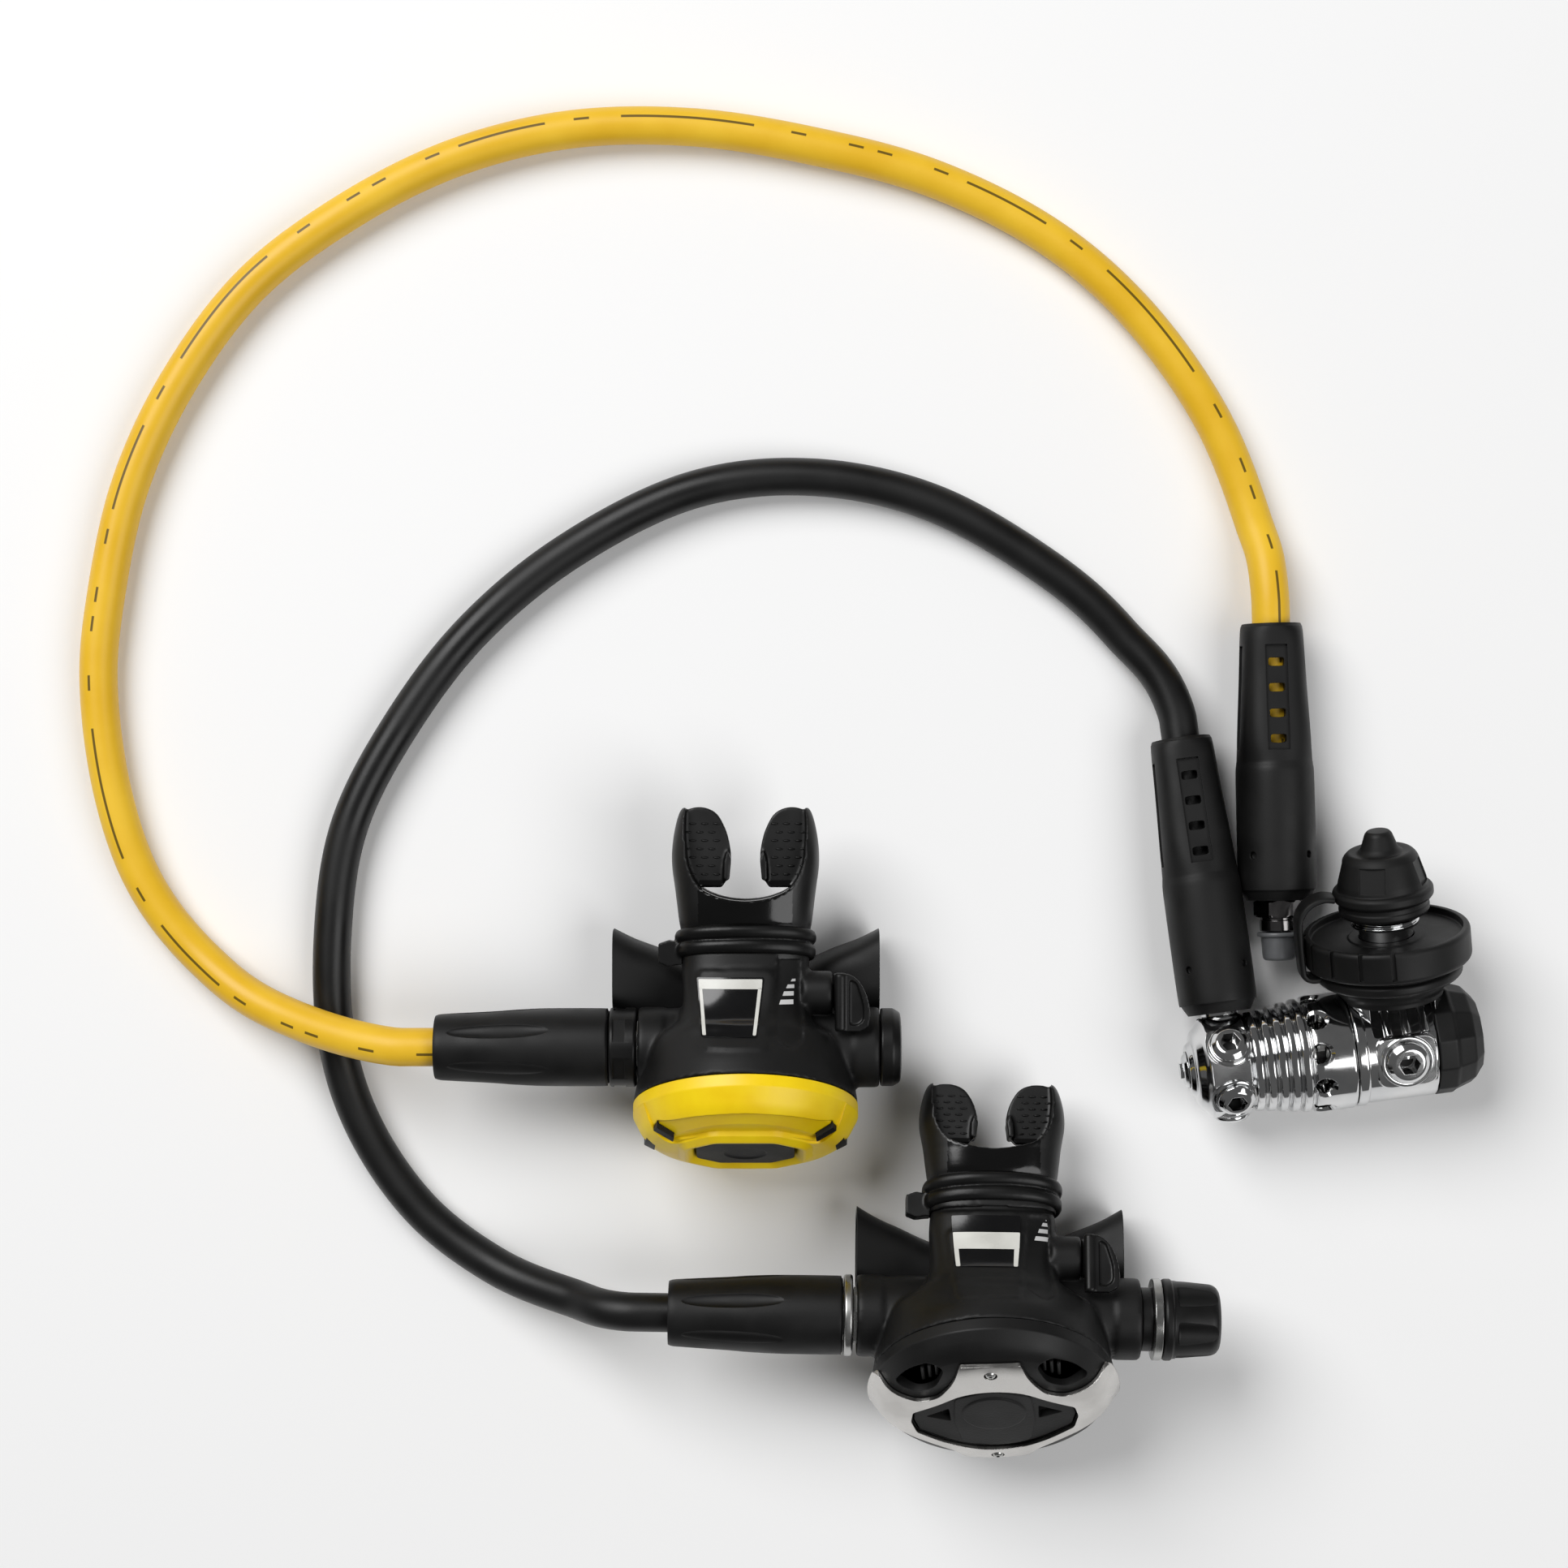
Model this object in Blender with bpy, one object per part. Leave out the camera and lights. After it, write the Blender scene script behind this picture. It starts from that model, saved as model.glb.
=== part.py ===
"""Scuba regulator set: first stage, primary second stage, octopus second stage and two hoses.

Metres, +Z up.  The set lies on a table at z = 0, with the origin under the middle of the hard
parts.  +X and +Y follow the table as seen from above.
"""
import math
from types import SimpleNamespace as Sizes

import bpy
import bmesh
from mathutils import Matrix, Vector

MM = 0.001
GAP = 0.3 * MM                      # clearance between pieces that touch
ROUND_SIDES = [(17 * MM, 14), (12.5 * MM, 12), (7.5 * MM, 10), (0.0, 8)]
WELD = 0.002 * MM                   # corners closer than this are one corner
FLAT = math.radians(0.2)            # faces this near to one plane become one face
FITTING_SIDES = 12                  # plugs, hose ends and their sleeves
THREAD_SIDES = 12                   # the inlet and what goes over it
BARREL_SIDES = 10                   # the second stages' barrels and what goes in them
ROD_PHASE = 0.11                    # radians; keeps crossing round cuts out of line

# --- places on the table -------------------------------------------------------------------
FIRST_STAGE_AT = Vector((125.5, 29.4, 20.1)) * MM    # where body axis and inlet axis cross
FIRST_STAGE_TURN = math.radians(7.5)                 # body axis, turned in the table plane
INLET_TILT = math.radians(15.0)                      # inlet axis, raised from the table
PRIMARY_AT = Vector((-12.2, -60.7, 37.3)) * MM
PRIMARY_TURN = math.radians(-0.8)
PRIMARY_PITCH = math.radians(17.0)                   # cover lifted, mouthpiece lowered
OCTOPUS_AT = Vector((-94.3, 29.0, 33.6)) * MM
OCTOPUS_TURN = 0.0
OCTOPUS_PITCH = 0.0
LOOSE_END_AT = Vector((87.0, 67.0, 13.6)) * MM       # shoulder of the loose hose fitting
LOOSE_END_TURN = math.radians(1.4)

# --- hoses ---------------------------------------------------------------------------------
HOSE_DIAMETER = 12.9 * MM
HOSE_STEP = 3.0                                      # spline points, in hose diameters
BLACK_ROUTE = [(45.0, 152.0, 9.0), (33.7, 168.8, 7.0), (8.7, 191.0, 7.0), (-30.3, 213.3, 7.0),
               (-72.0, 222.2, 7.0), (-113.8, 217.5, 7.0), (-155.5, 196.6, 7.0),
               (-188.9, 168.8, 7.0), (-214.0, 135.4, 7.0), (-230.7, 102.0, 7.0),
               (-236.2, 65.8, 7.0), (-234.9, 29.6, 7.0), (-225.1, -1.0, 7.0),
               (-205.6, -28.8, 8.0), (-179.5, -47.5, 13.0), (-153.5, -56.0, 25.0)]
YELLOW_ROUTE = [(-225.6, 31.6, 27.0), (-254.2, 40.0, 17.5), (-280.5, 57.5, 8.5),
                (-300.3, 82.5, 7.0), (-311.4, 113.1, 7.0), (-316.4, 149.3, 7.0),
                (-314.2, 179.9, 7.0), (-305.8, 218.9, 7.0), (-289.1, 255.0, 7.0),
                (-264.1, 288.4, 7.0), (-230.7, 313.5, 7.0), (-194.5, 331.6, 7.0),
                (-155.5, 341.3, 7.0), (-113.8, 342.2, 7.0), (-72.0, 335.8, 7.0),
                (-30.3, 324.6, 7.0), (8.7, 305.1, 7.0), (39.3, 278.7, 7.0),
                (64.3, 243.9, 7.0), (79.0, 208.0, 7.0)]

FITTING = Sizes(thread_radius=4.5 * MM, thread_length=8.5 * MM, neck_radius=6.35 * MM,
                neck_length=4.7 * MM, hex_flats=14.4 * MM, hex_length=6.0 * MM,
                ferrule_radius=7.9 * MM, ferrule_length=21.0 * MM, bore_radius=2.2 * MM)
HOSE_PLAY = 0.45 * MM                                # sleeve over hose, all round
FITTING_PLAY = 0.4 * MM                              # sleeve over fitting, all round
LONG_PROTECTOR_LENGTH = 94.0 * MM
SHORT_PROTECTOR_LENGTH = 58.0 * MM
NUT_TAIL = Sizes(length=24.0 * MM, radius=8.4 * MM)  # from the barrel's end face
PROTECTOR_BORE = HOSE_DIAMETER / 2 + HOSE_PLAY
PROTECTOR_SOCKET = FITTING_PLAY + max(NUT_TAIL.radius, FITTING.ferrule_radius,
                                      FITTING.hex_flats / math.sqrt(3))
WINDOW_PITCH = 8.65 * MM
WINDOW_FROM_END = 13.2 * MM
WINDOW_WIDTH = 5.0 * MM
WINDOW_HEIGHT = 2.8 * MM
WINDOW_ROWS = 4
LOOSE_PROTECTOR_BACK = 5.6 * MM                      # slid back, so the hexagon shows
DUST_CAP = Sizes(flange_radius=7.3 * MM, body_radius=5.85 * MM, length=10.0 * MM,
                 flange=1.4 * MM)

# --- first stage, along its body axis (0 = inlet axis) --------------------------------------
TURRET = Sizes(radius=17.5 * MM, start=-71.0 * MM, end=-51.6 * MM, wall=4.5 * MM,
               port_at=-57.5 * MM, port_radius=4.8 * MM, spot_radius=7.1 * MM,
               seat_radius=16.6 * MM)
HOSE_PORT_ANGLE = 94.5                               # degrees from straight up
PORT_PITCH = 66.0
PLUG = Sizes(head_radius=6.25 * MM, head_height=3.0 * MM, hex_flats=5.9 * MM)
GAUGE_PLUG = Sizes(head_radius=7.1 * MM, head_height=2.8 * MM, hex_flats=6.4 * MM)
CHAMBER = Sizes(start=TURRET.end + GAP, end=-16.5 * MM, bore=14.0 * MM, radius=19.8 * MM,
                fin_start=TURRET.end + 1.3 * MM, fin_pitch=3.9 * MM, fins=5, fin_depth=2.3 * MM,
                first_fin=16.9 * MM, last_fin=19.3 * MM, wall=3.0 * MM,
                hole_at=-27.9 * MM, hole_radius=3.0 * MM, holes=10,
                hole_turn=17.0)
PISTON = Sizes(head=4.4 * MM, shaft_radius=4.5 * MM, end=-7.0 * MM, stroke=0.8 * MM)
SPRING = Sizes(wire=1.5 * MM, radius=11.7 * MM, turns=4)
BODY = Sizes(start=CHAMBER.end + GAP, end=10.8 * MM, radius=18.9 * MM, seam_radius=19.6 * MM,
             seam=3.7 * MM, boss_radius=11.0 * MM, boss_height=19.5 * MM)
PANEL = Sizes(angle=46.0, start=-9.0 * MM, width=4.3 * MM, ribs=1.3 * MM, pockets=4,
              height=11.0 * MM, depth=1.6 * MM)
END_COVER = Sizes(start=BODY.end + GAP, end=27.6 * MM, radius=19.2 * MM, sides=12)
INLET = Sizes(neck_radius=9.0 * MM, thread_radius=11.45 * MM, foot=5.6 * MM,
              shoulder=42.4 * MM, end=62.0 * MM, bore=4.0 * MM)
NECK_COVER = Sizes(radius=17.6 * MM, top=24.0 * MM)
TETHER = Sizes(radius=24.35 * MM, low=NECK_COVER.top + GAP, high=29.6 * MM, strap=2.0 * MM,
               width=9.0 * MM)
WHEEL_PLAY = 0.4 * MM                                # wheel over tether ring
WHEEL = Sizes(radius=27.8 * MM, low=TETHER.high + WHEEL_PLAY, high=41.0 * MM,
              groove_width=3.2 * MM,
              groove_depth=1.2 * MM, groove_step=22.5, grooves=10, rim=2.4 * MM)
CAP = Sizes(skirt=15.2 * MM, flange=16.75 * MM, low=47.0 * MM, flange_low=52.0 * MM,
            flange_high=56.0 * MM, high=75.3 * MM, bore=INLET.thread_radius + 0.35 * MM)

# --- second stages --------------------------------------------------------------------------
COVER_TILT = math.radians(22.0)                      # cover face, leaned back from upright
BARREL = Sizes(radius=9.5 * MM, bore=7.0 * MM, nipple_radius=6.0 * MM, nipple=11.0 * MM,
               seat=6.2 * MM, orifice=3.0 * MM)
BUTTON = Sizes(clearance=0.5 * MM, flange=2.0 * MM, flange_thick=1.6 * MM,
               flange_depth=4.0 * MM, stem=5.0 * MM)
PLATE_TOP = -4.2 * MM                                # diaphragm plate, in the cover's frame
PLATE_THICK = 0.8 * MM
LEVER_PIVOT = Vector((11.0, 0.0, 4.0)) * MM          # in the barrel frame, z towards the cover
LEVER_TIP = Vector((-6.0, 0.0, 15.6)) * MM
LEVER_THICK = 1.0 * MM
LEVER_WIDTH = 6.0 * MM
DIVE_AXIS = Vector((0.0, 19.0, 8.0)) * MM
DIVE = Sizes(boss=6.6 * MM, hub=6.2 * MM, hub_length=2.6 * MM, pin=2.2 * MM, face=29.0 * MM,
             reach=12.0 * MM, back=6.6 * MM, front=25.4 * MM, low=13.6 * MM, thick=3.2 * MM)
MOUTH = Sizes(half_width=20.4 * MM, half_height=10.2 * MM, height=4.0 * MM, start=27.5 * MM,
              end=41.0 * MM, rubber=2.2 * MM, wall=2.0 * MM)
CASE_WALL = 2.2 * MM
LEDGE = 2.8 * MM                                     # shelf under the diaphragm rim
RING_SIDES = 14
EXHAUST = Sizes(y=4.0 * MM, z=-10.0 * MM, lean=math.radians(28.5), boss=13.2 * MM,
                bore=10.8 * MM, low=2.0 * MM, high=11.6 * MM)
TEE = Sizes(half_width=45.0 * MM, wall=1.7 * MM)
SCREW_TOP = (0.0, 26.0 * MM)
SCREW_BOTTOM = (0.0, -28.6 * MM)
TRIM_LIFT = 1.6 * MM                                  # trim's outer face over the cover
PLATE_RADIUS = 15.3 * MM                              # plate in the diaphragm's middle
COVER_TURN = math.radians(6.0)                       # the primary's cover, turned on its case

PRIMARY_RADIUS = 40.0 * MM
PRIMARY = Sizes(name="primary", radius=PRIMARY_RADIUS, centre_y=-23.0 * MM, centre_z=4.5 * MM,
                left_collar=(-PRIMARY_RADIUS - 5.2 * MM, -18.0 * MM),
                right_collar=(18.0 * MM, PRIMARY_RADIUS + 9.0 * MM),
                collar_radius=13.5 * MM, inlet=-PRIMARY_RADIUS - 6.2 * MM,
                barrel_end=PRIMARY_RADIUS + 8.0 * MM,
                nut_length=3.0 * MM, nut_radius=13.5 * MM, face=9.2 * MM)
OCTOPUS_RADIUS = 37.5 * MM
OCTOPUS = Sizes(name="octopus", radius=OCTOPUS_RADIUS, centre_y=-22.0 * MM, centre_z=4.0 * MM,
                left_collar=(-OCTOPUS_RADIUS + 1.7 * MM, -18.0 * MM),
                right_collar=(18.0 * MM, OCTOPUS_RADIUS + 7.1 * MM),
                collar_radius=13.4 * MM, inlet=-OCTOPUS_RADIUS + 1.4 * MM,
                barrel_end=OCTOPUS_RADIUS + 6.1 * MM,
                nut_length=9.0 * MM, nut_radius=13.2 * MM, face=12.0 * MM)

# Outlines on the primary's cover face: x across, y up the face, right half only.
TRIM_TOP = [(0.0, 31.0), (9.8, 30.5), (12.5, 21.0), (17.5, 12.5), (23.5, 10.5), (31.0, 13.0),
            (37.0, 16.0), (40.5, 9.0)]
TRIM_BOTTOM = [(38.6, -6.0), (31.5, -14.0), (22.0, -20.5), (13.0, -26.5), (9.8, -32.0),
               (0.0, -33.0)]
LENS = [(0.0, 16.3), (10.0, 14.2), (17.5, 8.2), (26.3, 3.2), (27.3, -3.0), (25.8, -10.5),
        (16.0, -19.0), (8.0, -23.3), (0.0, -24.5)]
OCTAGON = [(9.0, 13.0), (17.0, 6.5), (17.0, -6.5), (9.0, -13.0)]

TO_X = Matrix.Rotation(math.radians(90), 4, "Y")     # turns +Z to +X
TO_MINUS_X = Matrix.Rotation(math.radians(-90), 4, "Y")
TO_Y = Matrix.Rotation(math.radians(-90), 4, "X")    # turns +Z to +Y


# --- building blocks ------------------------------------------------------------------------
def clear_scene():
    for item in list(bpy.data.objects):
        bpy.data.objects.remove(item)


def paint(name, colour, roughness, metallic=0.0):
    material = bpy.data.materials.new(name)
    material.use_nodes = True
    shader = material.node_tree.nodes["Principled BSDF"]
    shader.inputs["Base Color"].default_value = (*colour, 1.0)
    shader.inputs["Roughness"].default_value = roughness
    shader.inputs["Metallic"].default_value = metallic
    material.diffuse_color = (*colour, 1.0)
    return material


def shift(x=0.0, y=0.0, z=0.0):
    return Matrix.Translation((x, y, z))


def sides_for(radius):
    """How many flats stand for a round piece of this radius."""
    return next(sides for limit, sides in ROUND_SIDES if radius >= limit)


def turned(outline, sides=None, first=0.0):
    """A solid turned about Z from a loop of (radius, height) points.

    A third value on a point makes that ring a hexagon, with the radius at its corners.
    """
    bm = bmesh.new()
    if sides is None:
        sides = sides_for(max(point[0] for point in outline))
    rings = []
    for radius, height, *hexagonal in outline:
        if radius < 1e-7:
            rings.append([bm.verts.new((0.0, 0.0, height))] * sides)
            continue
        ring = []
        for k in range(sides):
            angle = first + 2 * math.pi * k / sides
            reach = radius
            if hexagonal and k % 2:
                reach *= math.cos(math.pi / 6)
            ring.append(bm.verts.new((reach * math.cos(angle), reach * math.sin(angle),
                                      height)))
        rings.append(ring)
    for low, high in zip(rings, rings[1:] + rings[:1]):
        for k in range(sides):
            corners = []
            for vert in (low[k], low[k - 1], high[k - 1], high[k]):
                if vert not in corners:
                    corners.append(vert)
            if len(corners) > 2:
                bm.faces.new(corners)
    bmesh.ops.recalc_face_normals(bm, faces=bm.faces)
    return bm


def rod(radius, low, high, sides=None):
    outline = [(0.0, low), (radius, low), (radius, high), (0.0, high)]
    return turned(outline, sides, ROD_PHASE)


def bore(radius, low, high, sides=None):
    """A cutter whose flats, not its corners, reach the radius."""
    sides = sides or sides_for(radius)
    return rod(radius / math.cos(math.pi / sides), low, high, sides)


def clear_of(radius, sides):
    """Radius of a faceted hole that a pin of this radius turns in without touching."""
    return radius / math.cos(math.pi / sides) + GAP


def inside(radius, sides):
    """Radius of a pin that turns in a faceted hole of this radius without touching."""
    return radius * math.cos(math.pi / sides) - GAP


def prism(outline, low, high):
    """A flat outline of (x, y) points raised from z = low to z = high."""
    bm = bmesh.new()
    base = [bm.verts.new((x, y, low)) for x, y in outline]
    face = bm.faces.new(base)
    raised = bmesh.ops.extrude_face_region(bm, geom=[face])
    top = [item for item in raised["geom"] if isinstance(item, bmesh.types.BMVert)]
    bmesh.ops.translate(bm, verts=top, vec=(0.0, 0.0, high - low))
    bmesh.ops.recalc_face_normals(bm, faces=bm.faces)
    return bm


def block(low, high):
    corners = [(low[0], low[1]), (high[0], low[1]), (high[0], high[1]), (low[0], high[1])]
    return prism(corners, low[2], high[2])


def loft(rings):
    """A closed skin through rings of points, with flat ends."""
    bm = bmesh.new()
    loops = [[bm.verts.new(point) for point in ring] for ring in rings]
    count = len(loops[0])
    for low, high in zip(loops, loops[1:]):
        for k in range(count):
            bm.faces.new((low[k - 1], low[k], high[k], high[k - 1]))
    bm.faces.new(loops[0])
    bm.faces.new(loops[-1])
    bmesh.ops.recalc_face_normals(bm, faces=bm.faces)
    return bm


def oval(centre, across, up, half_width, half_height, power=2.0, count=RING_SIDES):
    """A ring of points on a rounded rectangle (power 2 is an ellipse)."""
    points = []
    for k in range(count):
        angle = 2 * math.pi * k / count
        c, s = math.cos(angle), math.sin(angle)
        x = math.copysign(abs(c) ** (2 / power), c) * half_width
        y = math.copysign(abs(s) ** (2 / power), s) * half_height
        points.append(Vector(centre) + Vector(across) * x + Vector(up) * y)
    return points


def mirrored(half):
    """A full outline from its right half, listed top to bottom on x >= 0, in millimetres."""
    left = [(-x, y) for x, y in reversed(half) if x > 0]
    return [(x * MM, y * MM) for x, y in half + left]


def grown(outline, amount):
    """The same outline moved outwards by amount along its corners' bisectors."""
    count = len(outline)
    area = sum(outline[k - 1][0] * outline[k][1] - outline[k][0] * outline[k - 1][1]
               for k in range(count))
    side = -1.0 if area > 0 else 1.0
    result = []
    for k in range(count):
        before = (Vector(outline[k]) - Vector(outline[k - 1])).normalized()
        after = (Vector(outline[(k + 1) % count]) - Vector(outline[k])).normalized()
        normal = Vector((-(before + after).y, (before + after).x)).normalized() * side
        reach = amount / max(0.5, abs(normal.dot(Vector((-after.y, after.x)))))
        result.append(tuple(Vector(outline[k]) + normal * reach))
    return result


def solid(name, bm, where=None):
    if where is not None:
        bm.transform(where)
    mesh = bpy.data.meshes.new(name)
    bm.to_mesh(mesh)
    bm.free()
    item = bpy.data.objects.new(name, mesh)
    bpy.context.scene.collection.objects.link(item)
    return item


def combine(item, bm, operation, where=None):
    """Boolean of an object with a second shape, applied to its mesh."""
    tool = solid("tool", bm, where)
    step = item.modifiers.new("combine", "BOOLEAN")
    step.operation = operation
    step.solver = "EXACT"
    step.object = tool
    graph = bpy.context.evaluated_depsgraph_get()
    mesh = bpy.data.meshes.new_from_object(item.evaluated_get(graph))
    item.modifiers.clear()
    bpy.data.objects.remove(tool)
    tidy = bmesh.new()
    tidy.from_mesh(mesh)
    bmesh.ops.remove_doubles(tidy, verts=tidy.verts, dist=WELD)
    bmesh.ops.dissolve_degenerate(tidy, edges=tidy.edges, dist=WELD)
    bmesh.ops.dissolve_limit(tidy, angle_limit=FLAT, verts=tidy.verts, edges=tidy.edges)
    tidy.to_mesh(mesh)
    tidy.free()
    item.data = mesh


def cut(item, bm, where=None):
    combine(item, bm, "DIFFERENCE", where)


def add(item, bm, where=None):
    combine(item, bm, "UNION", where)


def keep(item, bm, where=None):
    combine(item, bm, "INTERSECT", where)


def frame(name, matrix, parent=None):
    empty = bpy.data.objects.new(name, None)
    empty.empty_display_size = 0.01
    bpy.context.scene.collection.objects.link(empty)
    empty.parent = parent
    empty.matrix_local = matrix
    return empty


def place(item, parent, material, pivot=None, smooth=35.0):
    """Hang a finished piece on its frame, with its origin at the pivot."""
    if pivot is not None:
        item.data.transform(Matrix.Translation(-pivot))
        item.location = pivot
    item.parent = parent
    item.data.materials.clear()
    item.data.materials.append(material)
    for polygon in item.data.polygons:
        polygon.material_index = 0
    item.data.shade_smooth()
    item.data.set_sharp_from_angle(angle=math.radians(smooth))
    return item


def smooth_path(points, step):
    """Points a step apart on a smooth curve through all but the first and last given ones."""
    dense = []
    for k in range(1, len(points) - 2):
        a, b, c, d = points[k - 1:k + 3]
        for i in range(16):
            t = i / 16
            dense.append(0.5 * ((2 * b) + (c - a) * t + (2 * a - 5 * b + 4 * c - d) * t * t
                                + (3 * b - a - 3 * c + d) * t ** 3))
    dense.append(points[-2])
    length = sum((q - p).length for p, q in zip(dense, dense[1:]))
    spacing = length / max(1, round(length / step))
    result, walked, target = [dense[0]], 0.0, spacing
    for p, q in zip(dense, dense[1:]):
        stretch = (q - p).length
        while walked + stretch >= target - 1e-9 and stretch > 0:
            result.append(p.lerp(q, (target - walked) / stretch))
            target += spacing
        walked += stretch
    if (result[-1] - dense[-1]).length > spacing * 0.3:
        result.append(dense[-1])
    result[-1] = dense[-1]
    return result


def tube(name, points, radius, material, resolution=2):
    """A round cord along the points, with filled ends."""
    curve = bpy.data.curves.new(name, "CURVE")
    curve.dimensions = "3D"
    curve.bevel_depth = radius
    curve.bevel_resolution = resolution
    curve.use_fill_caps = True
    spline = curve.splines.new("POLY")
    spline.points.add(len(points) - 1)
    for target, point in zip(spline.points, points):
        target.co = (*point, 1.0)
    curve.materials.append(material)
    item = bpy.data.objects.new(name, curve)
    bpy.context.scene.collection.objects.link(item)
    return item


# --- fittings, plugs and protectors ---------------------------------------------------------
def port_plug(name, sizes, shank_radius, shank_length, parent, where, material):
    """A plug along +Z whose head sits a gap above z = 0, with a hexagon socket."""
    head = sizes.head_height
    corner = sizes.hex_flats / math.sqrt(3)
    outline = [(0.0, -shank_length), (shank_radius, -shank_length), (shank_radius, GAP),
               (sizes.head_radius, GAP), (sizes.head_radius, head * 0.7),
               (sizes.head_radius * 0.86, head), (corner, head, True),
               (corner, head - 2.4 * MM, True), (0.0, head - 2.4 * MM)]
    item = solid(name, turned(outline, FITTING_SIDES), where)
    return place(item, parent, material)


def hose_fitting(name, parent, where, material):
    """A threaded hose end along +Z whose shoulder sits a gap above z = 0."""
    f = FITTING
    hex_low = GAP + f.neck_length
    hex_high = hex_low + f.hex_length
    top = hex_high + f.ferrule_length
    corner = f.hex_flats / math.sqrt(3)
    outline = [(f.bore_radius, -f.thread_length), (f.thread_radius, -f.thread_length),
               (f.thread_radius, GAP), (f.neck_radius, GAP), (f.neck_radius, hex_low),
               (corner, hex_low, True), (corner, hex_high, True),
               (f.ferrule_radius, hex_high), (f.ferrule_radius, top), (f.bore_radius, top)]
    item = solid(name, turned(outline, FITTING_SIDES), where)
    return place(item, parent, material)


def fitting_top():
    return GAP + FITTING.neck_length + FITTING.hex_length + FITTING.ferrule_length


def port_stand_off():
    """From a port's seat to the protector that stands clear of the turret's wall."""
    return TURRET.radius - TURRET.seat_radius + GAP


def long_protector(name, parent, where, material):
    """The slotted sleeve at a hose's first-stage end, along +Z from z = 0."""
    end = LONG_PROTECTOR_LENGTH
    socket = fitting_top() - port_stand_off() + 2 * GAP
    outline = [(10.6 * MM, 0.0), (13.3 * MM, 6.0 * MM), (13.3 * MM, 42.0 * MM),
               (12.3 * MM, 50.0 * MM), (10.3 * MM, end - MM), (9.6 * MM, end), (PROTECTOR_BORE, end),
               (PROTECTOR_BORE, socket), (PROTECTOR_SOCKET, socket), (PROTECTOR_SOCKET, 0.0)]
    item = solid(name, turned(outline, FITTING_SIDES, math.radians(15)))
    half, reach = WINDOW_WIDTH / 2, 16 * MM
    cross = [(half, half), (half, reach), (-half, reach), (-half, half), (-reach, half),
             (-reach, -half), (-half, -half), (-half, -reach), (half, -reach),
             (half, -half), (reach, -half), (reach, half)]
    for row in range(WINDOW_ROWS):
        middle = end - WINDOW_FROM_END - row * WINDOW_PITCH
        cut(item, prism(cross, middle - WINDOW_HEIGHT / 2, middle + WINDOW_HEIGHT / 2))
    item.data.transform(where)
    return place(item, parent, material)


def short_protector(name, socket, parent, where, material):
    """The tapered sleeve at a hose's second-stage end, along +Z from z = 0."""
    end = SHORT_PROTECTOR_LENGTH
    outline = [(12.2 * MM, 0.0), (13.0 * MM, 2.0 * MM), (13.0 * MM, 20.0 * MM),
               (12.1 * MM, 38.0 * MM), (11.0 * MM, end - MM), (10.4 * MM, end),
               (PROTECTOR_BORE, end), (PROTECTOR_BORE, socket), (PROTECTOR_SOCKET, socket),
               (PROTECTOR_SOCKET, 0.0)]
    item = solid(name, turned(outline, FITTING_SIDES, math.radians(15)))
    item.data.transform(where)
    return place(item, parent, material)


def dust_cap(parent, where, material):
    """The clear cap over the loose fitting's thread, open towards +Z."""
    c = DUST_CAP
    bore = FITTING.thread_radius + GAP
    low = -c.length
    outline = [(0.0, low), (c.body_radius * 0.9, low), (c.body_radius, low + 0.8 * MM),
               (c.body_radius, -c.flange - GAP), (c.flange_radius, -c.flange - GAP),
               (c.flange_radius, -GAP), (bore, -GAP),
               (bore, -FITTING.thread_length - GAP), (0.0, -FITTING.thread_length - GAP)]
    item = solid("fitting_dust_cap", turned(outline, FITTING_SIDES), where)
    return place(item, parent, material)


# --- first stage ----------------------------------------------------------------------------
def port_matrix(angle):
    """From a plug's own axis to a turret port at this angle from straight up."""
    return (shift(TURRET.port_at) @ Matrix.Rotation(math.radians(-angle), 4, "X")
            @ shift(z=TURRET.seat_radius))


def port_angles():
    return [HOSE_PORT_ANGLE - PORT_PITCH * k for k in range(4)]


def make_turret(parent, chrome):
    t = TURRET
    inner = t.radius - t.wall
    floor = t.start + 7.5 * MM
    outline = [(t.port_radius, t.start), (8.5 * MM, t.start), (9.4 * MM, t.start + 1.4 * MM),
               (12.3 * MM, t.start + 2.0 * MM), (15.2 * MM, t.start + 5.0 * MM),
               (t.radius - 0.3 * MM, t.start + 6.2 * MM), (t.radius, t.start + 7.0 * MM),
               (t.radius, t.end), (inner, t.end), (inner, floor), (t.port_radius, floor)]
    item = solid("turret", turned(outline), TO_X)
    for angle in port_angles():
        port = port_matrix(angle)
        cut(item, bore(t.port_radius, -8 * MM, 4 * MM), port)
        cut(item, bore(t.spot_radius, 0.0, 4 * MM, 8), port)
    place(item, parent, chrome)
    seat = shift(t.start) @ TO_MINUS_X
    port_plug("turret_end_plug", PLUG, t.port_radius - GAP, 5 * MM, parent, seat, chrome)
    wall = t.seat_radius - inner
    for k, angle in enumerate(port_angles()[1:]):
        port_plug(f"lp_plug_{k + 1}", PLUG, t.port_radius - GAP, wall, parent,
                  port_matrix(angle), chrome)


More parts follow.
